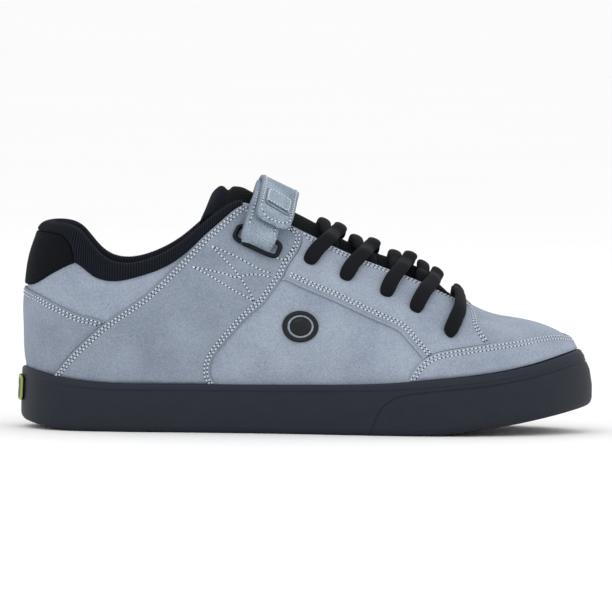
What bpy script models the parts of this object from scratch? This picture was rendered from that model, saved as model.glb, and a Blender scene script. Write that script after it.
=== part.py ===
"""A low skateboarding shoe for the right foot, laced and with an instep strap.

The toe points along +X, the outer side of the foot is -Y and the shoe stands
on z = 0. The origin is the middle of the heel's flat underside. Every piece
over the last is drawn on one surface, `last_points`: a place on it is told by
`around` (0 at the back of the heel, 1 at the tip of the toe along the outer
side, 2 at the heel again along the inner side) and `up` (0 at the rim of the
sole, 1 at the topline).
"""

from collections import namedtuple

import bmesh
import bpy
import numpy as np
from mathutils import Vector
from mathutils.geometry import delaunay_2d_cdt

MM = 0.001

# Outline of the sole
SHOE_LENGTH = 295 * MM
BALL_WIDTH = 107 * MM
WAIST_WIDTH = 79 * MM
HEEL_WIDTH = 81 * MM
HEEL_SEAT_AT = 46 * MM  # from the back of the sole to the origin

# Moulded rubber sole
SIDEWALL_HEIGHT = 25 * MM
SIDEWALL_LEAN = 6.5 * MM  # how far the rim leans in at the toe
SIDEWALL_FOOT = 6 * MM  # thickness of the sidewall beside the insole
HEEL_THICKNESS = 13.5 * MM
FOREFOOT_THICKNESS = 9.5 * MM
HEEL_BEVEL = 4.5 * MM
HEEL_BEVEL_LENGTH = 35 * MM
TOE_SPRING = 14.5 * MM
TOE_SPRING_LENGTH = 90 * MM
EDGE_ROUND = 2.8 * MM  # rounding where the sidewall meets the tread
RIM_LIP = 0.45 * MM  # how far the band along the rim stands proud

# Topline of the upper, above the floor and across the foot
HEEL_HEIGHT = 104.5 * MM
COLLAR_DIP_HEIGHT = 85.2 * MM
INSTEP_HEIGHT = 117.8 * MM
THROAT_END_HEIGHT = 63.8 * MM
COLLAR_WIDTH = 63 * MM
THROAT_WIDTH = 41 * MM

# Walls, layers and gaps
UPPER_WALL = 2.4 * MM
COLLAR_PAD = 9 * MM
BELLY_SWELL = 6 * MM  # how far the side walls lean out as they rise
CUFF_THICKNESS = 1.2 * MM
HEEL_TAB_BELOW_TOPLINE = 0.02  # of the wall's height
SEAM_GAP = 0.35 * MM  # between two pieces that touch

# Resolution of the shared surface
STATIONS = 24  # steps from heel to toe on each side
STATION_CROWDING = 0.055  # draws the stations together at the heel and the toe
HIDDEN_ROWS = (0.0,)  # of the way from the foot of the wall to the rim
SEEN_ROWS = (0.0, 0.13, 0.3, 0.48, 0.66, 0.84, 1.0)
ROLL_TURNS = (0.28, 0.72)  # over the topline, of half a turn
ROLLED = 1.2  # `up` where the roll over the topline ends inside

Station = namedtuple("Station", "along lateral medial width rim lean")
OUTLINE = (
    #        along  lateral medial width        rim   lean
    Station(0.000, 0.000, 0.000, HEEL_WIDTH, 1.25, 0.12),
    Station(0.019, 0.260, 0.260, HEEL_WIDTH, 1.21, 0.12),
    Station(0.061, 0.420, 0.415, HEEL_WIDTH, 1.11, 0.15),
    Station(0.142, 0.507, 0.490, HEEL_WIDTH, 1.01, 0.20),
    Station(0.254, 0.520, 0.470, HEEL_WIDTH, 1.00, 0.20),
    Station(0.380, 0.540, 0.450, WAIST_WIDTH, 1.00, 0.20),
    Station(0.500, 0.585, 0.475, WAIST_WIDTH, 1.02, 0.20),
    Station(0.630, 0.490, 0.420, BALL_WIDTH, 1.07, 0.22),
    Station(0.732, 0.500, 0.480, BALL_WIDTH, 1.165, 0.30),
    Station(0.824, 0.458, 0.472, BALL_WIDTH, 1.28, 0.50),
    Station(0.908, 0.350, 0.393, BALL_WIDTH, 1.455, 0.75),
    Station(0.969, 0.190, 0.234, BALL_WIDTH, 1.63, 0.95),
    Station(1.000, -0.019, 0.019, BALL_WIDTH, 1.71, 1.00),
)

Rib = namedtuple(
    "Rib",
    "foot along across width height over pad belly_out belly_up neck_out neck_down",
)
RIBS = (
    #   foot  along  across width       height over          pad  belly_out/up neck_out/down
    Rib(0.00, 0.051, 0.000, COLLAR_WIDTH, 1.000, HEEL_HEIGHT, 1.0, 1.05, 0.36, 0.084, 0.25),
    Rib(0.05, 0.056, 0.183, COLLAR_WIDTH, 1.002, HEEL_HEIGHT, 1.0, 1.05, 0.36, 0.084, 0.25),
    Rib(0.10, 0.078, 0.350, COLLAR_WIDTH, 1.001, HEEL_HEIGHT, 1.0, 0.92, 0.35, 0.065, 0.27),
    Rib(0.15, 0.112, 0.452, COLLAR_WIDTH, 0.952, HEEL_HEIGHT, 1.0, 0.92, 0.34, 0.042, 0.30),
    Rib(0.19, 0.142, 0.484, COLLAR_WIDTH, 1.049, COLLAR_DIP_HEIGHT, 0.95, 1.0, 0.34, 0.023, 0.34),
    Rib(0.23, 0.176, 0.500, COLLAR_WIDTH, 1.000, COLLAR_DIP_HEIGHT, 0.9, 1.0, 0.34, 0.014, 0.36),
    Rib(0.28, 0.224, 0.505, COLLAR_WIDTH, 1.030, COLLAR_DIP_HEIGHT, 0.9, 1.0, 0.34, 0.019, 0.36),
    Rib(0.325, 0.271, 0.492, COLLAR_WIDTH, 0.806, INSTEP_HEIGHT, 0.83, 1.0, 0.34, 0.037, 0.34),
    Rib(0.365, 0.312, 0.468, COLLAR_WIDTH, 0.891, INSTEP_HEIGHT, 0.78, 1.0, 0.33, 0.065, 0.32),
    Rib(0.395, 0.349, 0.437, COLLAR_WIDTH, 0.962, INSTEP_HEIGHT, 0.67, 1.0, 0.33, 0.084, 0.28),
    Rib(0.42, 0.383, 0.397, COLLAR_WIDTH, 1.000, INSTEP_HEIGHT, 0.55, 1.0, 0.32, 0.103, 0.22),
    Rib(0.445, 0.414, 0.560, THROAT_WIDTH, 0.976, INSTEP_HEIGHT, 0.42, 1.0, 0.32, 0.112, 0.20),
    Rib(0.49, 0.475, 0.524, THROAT_WIDTH, 0.896, INSTEP_HEIGHT, 0.31, 1.0, 0.33, 0.131, 0.18),
    Rib(0.56, 0.549, 0.500, THROAT_WIDTH, 0.801, INSTEP_HEIGHT, 0.31, 1.0, 0.34, 0.150, 0.16),
    Rib(0.63, 0.620, 0.476, THROAT_WIDTH, 0.724, INSTEP_HEIGHT, 0.31, 1.0, 0.38, 0.168, 0.16),
    Rib(0.70, 0.688, 0.440, THROAT_WIDTH, 1.207, THROAT_END_HEIGHT, 0.31, 0.92, 0.42, 0.206, 0.15),
    Rib(0.78, 0.739, 0.366, THROAT_WIDTH, 1.082, THROAT_END_HEIGHT, 0.31, 0.92, 0.50, 0.250, 0.17),
    Rib(0.87, 0.771, 0.232, THROAT_WIDTH, 1.024, THROAT_END_HEIGHT, 0.31, 1.1, 0.75, 0.275, 0.26),
    Rib(1.00, 0.786, 0.000, THROAT_WIDTH, 1.000, THROAT_END_HEIGHT, 0.31, 1.25, 0.98, 0.280, 0.326),
)
THROAT_SWAY = 0.019  # share of the ball width that the toe leans to the inner side


class ClosedSpline:
    """Smooth closed curves through a table's rows, heel to toe and back."""

    def __init__(self, knots, values):
        """`knots` run from 0 up to, and not including, 2. `values` has a row for each."""
        self.knots = np.append(knots, 2.0)
        self.values = np.vstack([values, values[:1]])
        steps = np.diff(self.knots)
        slopes = np.diff(self.values, axis=0) / steps[:, None]
        count = len(knots)
        system = np.zeros((count, count))
        for i in range(count):
            system[i, i - 1] += steps[i - 1]
            system[i, i] += 2 * (steps[i - 1] + steps[i])
            system[i, (i + 1) % count] += steps[i]
        bends = np.linalg.solve(system, 6 * (slopes - np.roll(slopes, 1, axis=0)))
        self.bends = np.vstack([bends, bends[:1]])

    def at(self, around):
        around = np.mod(np.asarray(around, float), 2.0)
        left = np.clip(np.searchsorted(self.knots, around, side="right") - 1, 0, len(self.knots) - 2)
        step = (self.knots[left + 1] - self.knots[left])[..., None]
        past = (around - self.knots[left])[..., None]
        ahead = step - past
        return (
            self.bends[left] * ahead**3 / (6 * step)
            + self.bends[left + 1] * past**3 / (6 * step)
            + (self.values[left] / step - self.bends[left] * step / 6) * ahead
            + (self.values[left + 1] / step - self.bends[left + 1] * step / 6) * past
        )


def both_sides(lateral, medial):
    """Rows heel to toe along the outer side, then back along the inner one."""
    return np.array(list(lateral) + list(medial)[-2:0:-1], float)


def outline_spline():
    """x, y, rim height and rim lean round the sole."""
    lateral = []
    medial = []
    for station in OUTLINE:
        x = station.along * SHOE_LENGTH - HEEL_SEAT_AT
        rim = station.rim * SIDEWALL_HEIGHT
        lean = station.lean * SIDEWALL_LEAN
        lateral.append((x, -station.lateral * station.width, rim, lean))
        medial.append((x, station.medial * station.width, rim, lean))
    runs = [
        sum(np.linalg.norm(np.subtract(side[i + 1][:2], side[i][:2])) for side in (lateral, medial))
        for i in range(len(OUTLINE) - 1)
    ]
    shares = np.concatenate([[0], np.cumsum(runs) / sum(runs)])
    knots = both_sides(shares, 2 - shares)
    return ClosedSpline(knots, both_sides(lateral, medial))


def rib_spline():
    """Crest x, y, z, wall at the crest and the four pulls of each rib."""
    rows = {-1: [], 1: []}
    for rib in RIBS:
        sway = THROAT_SWAY * BALL_WIDTH * rib.foot**2
        for side, kept in rows.items():
            kept.append(
                (
                    rib.along * SHOE_LENGTH - HEEL_SEAT_AT,
                    sway + side * rib.across * rib.width,
                    rib.height * rib.over,
                    rib.pad * COLLAR_PAD,
                    rib.belly_out * BELLY_SWELL,
                    rib.belly_up,
                    rib.neck_out * BALL_WIDTH,
                    rib.neck_down,
                )
            )
    feet = np.array([rib.foot for rib in RIBS])
    return ClosedSpline(both_sides(feet, 2 - feet), both_sides(rows[-1], rows[1]))


SOLE_LINE = outline_spline()
RIB_LINE = rib_spline()


def smooth_step(value):
    value = np.clip(value, 0.0, 1.0)
    return value * value * (3 - 2 * value)


def outward(around):
    """Level unit vectors that point out of the sole's outline."""
    step = 1e-4
    run = SOLE_LINE.at(around + step)[..., :2] - SOLE_LINE.at(around - step)[..., :2]
    run /= np.linalg.norm(run, axis=-1, keepdims=True)
    return np.stack([run[..., 1], -run[..., 0], np.zeros_like(run[..., 0])], axis=-1)


def tread_height(x):
    """Underside of the sole: bevelled at the heel and sprung at the toe."""
    from_back = x + HEEL_SEAT_AT
    bevel = np.clip(1 - from_back / HEEL_BEVEL_LENGTH, 0, 1) ** 2
    spring = np.clip(1 - (SHOE_LENGTH - from_back) / TOE_SPRING_LENGTH, 0, 1) ** 1.5
    return HEEL_BEVEL * bevel + TOE_SPRING * spring


def floor_height(x):
    """Inside floor of the cup sole, on which the upper and the insole stand."""
    share = smooth_step(((x + HEEL_SEAT_AT) / SHOE_LENGTH - 0.3) / 0.35)
    return tread_height(x) + HEEL_THICKNESS + (FOREFOOT_THICKNESS - HEEL_THICKNESS) * share


def rib_handles(around):
    """The four Bezier points of each rib, from the floor of the cup to the topline."""
    sole = SOLE_LINE.at(around)
    rib = RIB_LINE.at(around)
    out = outward(around)
    up = np.array([0.0, 0.0, 1.0])
    inset = SIDEWALL_FOOT + SEAM_GAP + 0.4 * sole[..., 3]
    foot = np.concatenate([sole[..., :2], np.zeros_like(sole[..., :1])], axis=-1) - out * inset[..., None]
    foot[..., 2] = floor_height(foot[..., 0]) + SEAM_GAP
    crest = rib[..., :3]
    rise = (crest[..., 2] - foot[..., 2])[..., None]
    half_wall = rib[..., 3:4] / 2
    neck = out * rib[..., 6:7] - up * rib[..., 7:8] * rise
    climb = -neck / np.linalg.norm(neck, axis=-1, keepdims=True)
    lean = (climb * up).sum(-1, keepdims=True)
    face = out * lean + up * np.sqrt(np.clip(1 - lean**2, 0, 1))
    top = crest - climb * half_wall + face * half_wall
    belly = foot + out * rib[..., 4:5] + up * rib[..., 5:6] * rise
    return foot, belly, top + neck, top


def along_rib(handles, t):
    """Points at share `t` of each rib, and their direction of climb."""
    t = np.asarray(t, float)[..., None]
    a, b, c, d = handles
    s = 1 - t
    place = a * s**3 + 3 * b * s * s * t + 3 * c * s * t * t + d * t**3
    climb = 3 * ((b - a) * s * s + 2 * (c - b) * s * t + (d - c) * t * t)
    return place, climb


def wall_at(around, t):
    """Wall thickness: plain below, padded towards the collar."""
    pad = RIB_LINE.at(around)[..., 3]
    return UPPER_WALL + (pad - UPPER_WALL) * smooth_step((np.asarray(t) - 0.45) / 0.5)


def base_points(around, t, out=0.0):
    """Places on the last at rib share `t`, moved `out` along the surface normal."""
    around = np.asarray(around, float)
    step = 1e-4
    place, climb = along_rib(rib_handles(around), t)
    run = along_rib(rib_handles(around + step), t)[0] - along_rib(rib_handles(around - step), t)[0]
    normal = np.cross(run, climb)
    normal /= np.linalg.norm(normal, axis=-1, keepdims=True)
    return place + normal * np.asarray(out)[..., None], normal, climb


def rim_share(around):
    """Rib share at which each rib passes the rim of the sole."""
    handles = rib_handles(around)
    rim = SOLE_LINE.at(around)[..., 2] + SEAM_GAP
    low, high = np.zeros_like(rim), np.full_like(rim, 0.7)
    for _ in range(30):
        middle = (low + high) / 2
        under = along_rib(handles, middle)[0][..., 2] < rim
        low, high = np.where(under, middle, low), np.where(under, high, middle)
    return low


def last_points(around, up, out=0.0):
    """Places on the upper, `up` being 0 at the rim of the sole and 1 at the topline."""
    start = rim_share(around)
    return base_points(around, start + (1 - start) * up, out)[0]


# Meshes and materials


def new_object(name, mesh, material, collection):
    thing = bpy.data.objects.new(name, mesh)
    mesh.materials.append(material)
    collection.objects.link(thing)
    return thing


def mesh_from(name, points, faces):
    """A closed mesh with its faces turned outwards."""
    shape = bmesh.new()
    corners = [shape.verts.new(p) for p in points]
    for face in faces:
        shape.faces.new([corners[i] for i in face])
    bmesh.ops.recalc_face_normals(shape, faces=shape.faces)
    mesh = bpy.data.meshes.new(name)
    shape.to_mesh(mesh)
    shape.free()
    return mesh


def ring_faces(rings, length):
    """Triangles of a grid closed both ways, all split along the same diagonal."""
    faces = []
    for i in range(rings):
        for j in range(length):
            a, b = i * length + j, i * length + (j + 1) % length
            c, d = (i + 1) % rings * length + (j + 1) % length, (i + 1) % rings * length + j
            faces += [(a, b, c), (a, c, d)]
    return faces


def stations():
    """The shared places round the foot: heel to toe along the outer side, then back."""
    steps = np.arange(2 * STATIONS) / STATIONS
    return steps - STATION_CROWDING * np.sin(2 * np.pi * steps)


class Skin:
    """The upper's surface as flat triangles that every piece over it shares.

    Rows run from the foot of the wall (`up` below 0) past the sole's rim (0) to
    the topline (1), over its roll (1 to ROLLED) and down inside as far as the rim.
    """

    def __init__(self):
        around = stations()
        rim = rim_share(around)
        rows = []
        for row in HIDDEN_ROWS:
            rows.append((row - 1, *base_points(around, rim * row)[:2]))
        for row in SEEN_ROWS:
            rows.append((row, *base_points(around, rim + (1 - rim) * row)[:2]))
        level = rows[len(HIDDEN_ROWS)][2]
        level[:, 2] = 0
        level /= np.linalg.norm(level, axis=1, keepdims=True)
        top, normal, climb = base_points(around, np.ones_like(around))
        climb /= np.linalg.norm(climb, axis=1, keepdims=True)
        half = wall_at(around, 1.0)[:, None] / 2
        for turn in ROLL_TURNS:
            facing = normal * np.cos(turn * np.pi) + climb * np.sin(turn * np.pi)
            rows.append((1 + turn * (ROLLED - 1), top + (facing - normal) * half, facing))
        for row in SEEN_ROWS[::-1]:
            share = rim + (1 - rim) * row
            place, normal = base_points(around, share, -wall_at(around, share))[:2]
            rows.append((ROLLED + 1 - row, place, -normal))
        for row in HIDDEN_ROWS[::-1]:
            place, normal = base_points(around, rim * row, -wall_at(around, rim * row))[:2]
            rows.append((ROLLED + 2 - row, place, -normal))
        self.ups = np.array([row[0] for row in rows])
        self.places = np.array([row[1] for row in rows])
        self.facings = np.array([row[2] for row in rows])
        self.stations = np.append(around, 2.0)

    def place(self, around, up, out=0.0):
        """Places on the flat triangles, moved `out` from them."""
        around = np.mod(around, 2.0)
        i = np.clip(np.searchsorted(self.stations, around, side="right") - 1, 0, 2 * STATIONS - 1)
        across = ((around - self.stations[i]) / (self.stations[i + 1] - self.stations[i]))[..., None]
        j = np.clip(np.searchsorted(self.ups, up, side="right") - 1, 0, len(self.ups) - 2)
        along = ((up - self.ups[j]) / (self.ups[j + 1] - self.ups[j]))[..., None]
        after = (i + 1) % (2 * STATIONS)
        grid = self.places + self.facings * out
        a, b, c, d = grid[j, i], grid[j + 1, i], grid[j + 1, after], grid[j, after]
        over = a + along * (b - a) + across * (c - b)
        under = a + across * (d - a) + along * (c - d)
        return np.where(along >= across, over, under)

    def facing(self, around, up):
        step = self.place(around, up, MM) - self.place(around, up)
        return step / np.linalg.norm(step, axis=-1, keepdims=True)


SKIN = Skin()


def side_spots(line):
    """(around, up) of places seen from the outer side, told by shares along and high."""
    spots = []
    for along, high in line:
        target = np.array([along * SHOE_LENGTH - HEEL_SEAT_AT, high * INSTEP_HEIGHT])
        middle, reach = np.array([0.5, 0.5]), np.array([0.5, 0.5])
        for _ in range(6):
            around = np.clip(middle[0] + reach[0] * np.linspace(-1, 1, 25), 0, 1)
            up = np.clip(middle[1] + reach[1] * np.linspace(-1, 1, 25), 0, 1)
            grid = np.stack(np.meshgrid(around, up, indexing="ij"), axis=-1)
            seen = last_points(grid[..., 0].ravel(), grid[..., 1].ravel())
            missed = np.hypot(seen[:, 0] - target[0], seen[:, 2] - target[1])
            middle = grid.reshape(-1, 2)[missed.argmin()]
            reach = reach / 6
        spots.append(middle)
    return np.array(spots)


def smooth_line(points, parts=4):
    """Catmull-Rom curve through the points."""
    points = np.asarray(points, float)
    ends = np.vstack([2 * points[0] - points[1], points, 2 * points[-1] - points[-2]])
    curve = []
    for before, start, end, after in zip(ends, ends[1:], ends[2:], ends[3:]):
        for t in np.arange(parts) / parts:
            curve.append(
                0.5 * (2 * start + (end - before) * t
                       + (2 * before - 5 * start + 4 * end - after) * t**2
                       + (3 * start - before - 3 * end + after) * t**3)
            )
    return np.array(curve + [points[-1]])


def moved_left(line, distance):
    """A line of (around, up) moved over the surface, to the left as seen from outside."""
    step = 1e-3
    around, up = line[:, 0], np.clip(line[:, 1], step, 1 - step)
    run = (last_points(around + step, up) - last_points(around - step, up)) / (2 * step)
    rise = (last_points(around, up + step) - last_points(around, up - step)) / (2 * step)
    heading = np.gradient(line, axis=0)
    travel = run * heading[:, :1] + rise * heading[:, 1:]
    facing = np.cross(run, rise)
    left = np.cross(facing, travel)
    left *= distance / np.linalg.norm(left, axis=1, keepdims=True)
    moved = line.copy()
    for k in range(len(line)):
        moved[k] += np.linalg.lstsq(np.stack([run[k], rise[k]], axis=1), left[k], rcond=None)[0]
    moved[:, 1] = np.clip(moved[:, 1], 0, 1)
    for end in (0, -1):
        for edge in (0.0, 1.0):
            if abs(line[end, 1] - edge) < 0.02:
                moved[end, 1] = edge
    return moved


def mirrored(line, about):
    """The same line on the other side of the heel (about 0) or the toe (about 1)."""
    other = line[::-1].copy()
    other[:, 0] = 2 * about - other[:, 0]
    return other


def holds(loop, spot):
    """Whether a closed loop of flat points goes round the spot."""
    x, y = spot
    ahead = np.roll(loop, -1, axis=0)
    crosses = (loop[:, 1] > y) != (ahead[:, 1] > y)
    a, b = loop[crosses], ahead[crosses]
    at = a[:, 0] + (y - a[:, 1]) / (b[:, 1] - a[:, 1]) * (b[:, 0] - a[:, 0])
    return int((at > x).sum()) % 2 == 1


def panel(name, loop, low, high, material, collection):
    """A slab between heights `low` and `high` over the skin, inside a loop of (around, up)."""
    scale = np.array([1.0, 0.2])
    every = np.concatenate([SKIN.stations[:-1] - 2, SKIN.stations])
    first, last = np.searchsorted(every, [loop[:, 0].min() + 1e-6, loop[:, 0].max() - 1e-6])
    columns = every[first - 1:last + 1]
    first = max(np.searchsorted(SKIN.ups, loop[:, 1].min(), side="right") - 1, 0)
    last = min(np.searchsorted(SKIN.ups, loop[:, 1].max(), side="left"), len(SKIN.ups) - 1)
    rows = SKIN.ups[first:last + 1]
    grid = np.array([(column, up) for column in columns for up in rows])
    links = []
    for i in range(len(columns)):
        for j in range(len(rows)):
            here = i * len(rows) + j
            if j + 1 < len(rows):
                links.append((here, here + 1))
            if i + 1 < len(columns):
                links.append((here, here + len(rows)))
            if i + 1 < len(columns) and j + 1 < len(rows):
                links.append((here, here + len(rows) + 1))
    flat = [Vector(p) for p in np.vstack([grid, loop]) * scale]
    ring = list(range(len(grid), len(flat)))
    ring = list(zip(ring, ring[1:] + ring[:1]))
    found, _, faces, _, _, _ = delaunay_2d_cdt(flat, links + ring, [], 0, 1e-5)
    middles = [sum((found[k] for k in face), Vector((0, 0))) / 3 for face in faces]
    inside = [face for face, middle in zip(faces, middles) if holds(loop * scale, middle)]
    used = sorted({k for face in inside for k in face})
    order = {k: n for n, k in enumerate(used)}
    spots = np.array([found[k] for k in used]) / scale
    points = np.vstack([SKIN.place(spots[:, 0], spots[:, 1], height) for height in (low, high)])
    count = len(used)
    triangles = [tuple(order[k] for k in face) for face in inside]
    edges = {(f[k], f[(k + 1) % 3]) for f in triangles for k in range(3)}
    solid = []
    for a, b, c in triangles:
        solid += [(c, b, a), (a + count, b + count, c + count)]
    for a, b in edges:
        if (b, a) not in edges:
            solid += [(a, b, b + count), (a, b + count, a + count)]
    return new_object(name, mesh_from(name, points, solid), material, collection)


def sweep(name, centres, wide, thick, profile, closed=False):
    """A closed mesh of `profile` carried along `centres`; wide and thick are its half axes."""
    rings = np.array([
        [c + w * a + t * b for a, b in profile]
        for c, w, t in zip(centres, wide, thick)
    ])
    count, size = len(rings), len(profile)
    faces = []
    for i in range(count if closed else count - 1):
        for j in range(size):
            a, b = i * size + j, i * size + (j + 1) % size
            c, d = (i + 1) % count * size + (j + 1) % size, (i + 1) % count * size + j
            faces += [(a, b, c), (a, c, d)]
    if not closed:
        faces.append(tuple(range(size)))
        faces.append(tuple((count - 1) * size + j for j in reversed(range(size))))
    return mesh_from(name, rings.reshape(-1, 3), faces)


def round_profile(sides):
    turns = np.arange(sides) / sides * 2 * np.pi
    return np.stack([np.cos(turns), np.sin(turns)], axis=1)


def sweep_axes(centres, side, closed=False):
    """Directions across and through a band whose width keeps to `side`."""
    if closed:
        travel = np.roll(centres, -1, axis=0) - np.roll(centres, 1, axis=0)
    else:
        travel = np.gradient(centres, axis=0)
    travel /= np.linalg.norm(travel, axis=1, keepdims=True)
    wide = side - travel * (travel * side).sum(1, keepdims=True)
    wide /= np.linalg.norm(wide, axis=1, keepdims=True)
    return wide, np.cross(travel, wide)


# Sole and insole


def strip_cap(first, size, up_side):
    """Triangles that close a ring of the shared stations straight across the foot."""
    faces = []
    count = 2 * STATIONS
    ring = [first + i * size for i in range(count)]
    for i in range(STATIONS):
        a, b = ring[i], ring[i + 1]
        c, d = ring[(count - i - 1) % count], ring[(count - i) % count]
        quad = [corner for n, corner in enumerate((a, b, c, d)) if corner not in (a, b, c, d)[:n]]
        faces.append(tuple(quad[:3]))
        if len(quad) == 4:
            faces.append((quad[0], quad[2], quad[3]))
    return faces if up_side else [face[::-1] for face in faces]


WallRow = namedtuple("WallRow", "height lean lip rounding")
WALL_ROWS = (
    #       height  lean   lip     rounding
    WallRow(1.000, 1.00, -8 / 9, 0),
    WallRow(0.965, 0.90, 1, 0),
    WallRow(0.880, 0.66, 1, 0),
    WallRow(0.872, 0.64, 0, 0),
    WallRow(0.640, 0.20, 0, 0),
    WallRow(0.360, 0.00, 0, 0),
    WallRow(0.140, 0.00, 0, 3 / 28),
    WallRow(0.040, 0.00, 0, 13 / 28),
    WallRow(0.000, 0.00, 0, 1),
)


def proud_of(row):
    """How far a row stands out of the sidewall's true surface."""
    return row.lip * RIM_LIP - row.rounding * EDGE_ROUND


def wall_place(around, height, lean, proud):
    """Places on the outside of the sole, `proud` of its true surface."""
    sole = SOLE_LINE.at(around)
    out = outward(around)
    flat = np.concatenate([sole[..., :2], np.zeros_like(sole[..., :1])], axis=-1)
    bottom = tread_height(flat[..., 0])
    place = flat - out * (lean * sole[..., 3] - proud)[..., None]
    place[..., 2] = bottom + height * (sole[..., 2] - bottom)
    if height == 0:
        place[..., 2] = tread_height(place[..., 0])
    return place


def make_outsole(material, collection, cutters):
    around = stations()
    hidden = len(HIDDEN_ROWS)
    inner = SKIN.places[:hidden + 1] + SKIN.facings[:hidden + 1] * SEAM_GAP
    inner[0, :, 2] = floor_height(inner[0, :, 0])
    inner[hidden, :, 2] = SOLE_LINE.at(around)[:, 2]
    loops = list(inner) + [wall_place(around, row.height, row.lean, proud_of(row)) for row in WALL_ROWS]
    size = len(loops)
    points = np.stack(loops, axis=1).reshape(-1, 3)
    faces = []
    for i in range(len(around)):
        for j in range(size - 1):
            a, b = i * size + j, i * size + j + 1
            c, d = (i + 1) % len(around) * size + j + 1, (i + 1) % len(around) * size + j
            faces += [(a, b, c), (a, c, d)]
    faces += strip_cap(0, size, True) + strip_cap(size - 1, size, False)
    outsole = new_object("outsole", mesh_from("outsole", points, faces), material, collection)
    grooves = new_object("tread_grooves", groove_mesh(), material, cutters)
    cut(outsole, grooves)
    welt = new_object("toe_bumper_groove", bumper_groove_mesh(), material, cutters)
    cut(outsole, welt)
    return outsole


GROOVE_WIDTH = 2.4 * MM
GROOVE_DEPTH = 1.5 * MM
GROOVE_MARGIN = 9 * MM
GROOVE_WAVE = 4 * MM
GROOVES_AT = (0.055, 0.098, 0.215, 0.258, 0.300, 0.500, 0.545, 0.655, 0.70, 0.745, 0.79, 0.835)
GROOVE_BENDS = 5


def half_widths(x):
    """Outline's reach to the outer and the inner side at x."""
    around = np.linspace(0, 1, 200)
    outer, inner = SOLE_LINE.at(around), SOLE_LINE.at(2 - around)
    return -np.interp(x, outer[:, 0], outer[:, 1]), np.interp(x, inner[:, 0], inner[:, 1])


def groove_mesh():
    """Chevron grooves across the tread, as one mesh of closed bars."""
    points, faces = [], []
    for share in GROOVES_AT:
        middle = share * SHOE_LENGTH - HEEL_SEAT_AT
        outer, inner = half_widths(middle)
        across = np.linspace(GROOVE_MARGIN - outer, inner - GROOVE_MARGIN, GROOVE_BENDS)
        wave = GROOVE_WAVE / 2 * (-1.0) ** np.arange(GROOVE_BENDS)
        first = len(points)
        for y, shift in zip(across, wave):
            for side, level in ((-1, -1), (1, -1), (1, 1), (-1, 1)):
                x = middle + shift + side * GROOVE_WIDTH / 2
                z = tread_height(x) + (GROOVE_DEPTH if level > 0 else -2 * MM)
                points.append((x, y, z))
        for i in range(GROOVE_BENDS - 1):
            for j in range(4):
                a, b = first + i * 4 + j, first + i * 4 + (j + 1) % 4
                faces += [(a, b, b + 4), (a, b + 4, a + 4)]
        end = len(points)
        faces += [(first, first + 1, first + 2, first + 3), (end - 1, end - 2, end - 3, end - 4)]
    return mesh_from("tread_grooves", points, faces)


BumperLine = namedtuple("BumperLine", "around below_rim")
BUMPER_GROOVE = (
    # line of the toe bumper from the tread forward, as a share of the sidewall below its rim
    BumperLine(0.590, 1.08),
    BumperLine(0.598, 0.80),
    BumperLine(0.608, 0.52),
    BumperLine(0.625, 0.33),
    BumperLine(0.650, 0.24),
    BumperLine(0.700, 0.21),
    BumperLine(0.800, 0.21),
    BumperLine(0.900, 0.21),
    BumperLine(1.000, 0.21),
)
BUMPER_GROOVE_SIZE = 0.9 * MM


def bumper_groove_mesh():
    """A thin bar along the toe bumper's line, sunk in the sidewall by half."""
    lateral = smooth_line([tuple(row) for row in BUMPER_GROOVE], 2)
    line = np.vstack([lateral, mirrored(lateral, 1.0)[1:]])
    rising = WALL_ROWS[::-1]
    heights = [row.height for row in rising]
    centres = []
    for around, below in line:
        height = 1 - below
        lean = np.interp(height, heights, [row.lean for row in rising])
        proud = np.interp(height, heights, [proud_of(row) for row in rising])
        centres.append(wall_place(np.array([around]), height, lean, proud)[0])
    centres = np.array(centres)
    out = outward(line[:, 0])
    wide = out * BUMPER_GROOVE_SIZE * 0.75
    travel = np.gradient(centres, axis=0)
    thick = np.cross(travel, out)
    thick *= BUMPER_GROOVE_SIZE / 2 / np.linalg.norm(thick, axis=1, keepdims=True)
    profile = np.array([(-1, 0), (0, -1), (1.5, -1), (1.5, 1), (0, 1)])
    return sweep("toe_bumper_groove", centres, wide, thick, profile)


def cut(body, tool, operation="DIFFERENCE"):
    """Cut (or join) `tool` with `body`; the tool stays in the file as a wire helper."""
    step = body.modifiers.new(tool.name, "BOOLEAN")
    step.operation = operation
    step.solver = "EXACT"
    step.object = tool
    tool.hide_render = True
    tool.display_type = "WIRE"


INSOLE_THICKNESS = 4.5 * MM
HEEL_LABEL_FROM = 0.36  # of the sidewall's height
HEEL_LABEL_TO = 0.84
HEEL_LABEL_THICKNESS = 1.4 * MM


def make_insole(material, collection):
    foot = SKIN.places[-1] + SKIN.facings[-1] * SEAM_GAP
    loops = []
    for inset, height in ((0.0, 0.0), (0.0, 0.8), (0.8, 1.0)):
        loop = foot + SKIN.facings[-1] * inset * MM
        loop[:, 2] = floor_height(loop[:, 0]) + SEAM_GAP + height * INSOLE_THICKNESS
        loops.append(loop)
    size = len(loops)
    points = np.stack(loops, axis=1).reshape(-1, 3)
    faces = []
    count = 2 * STATIONS
    for i in range(count):
        for j in range(size - 1):
            a, b = i * size + j, i * size + j + 1
            c, d = (i + 1) % count * size + j + 1, (i + 1) % count * size + j
            faces += [(a, c, b), (a, d, c)]
    faces += strip_cap(0, size, False) + strip_cap(size - 1, size, True)
    return new_object("insole", mesh_from("insole", points, faces), material, collection)


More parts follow.
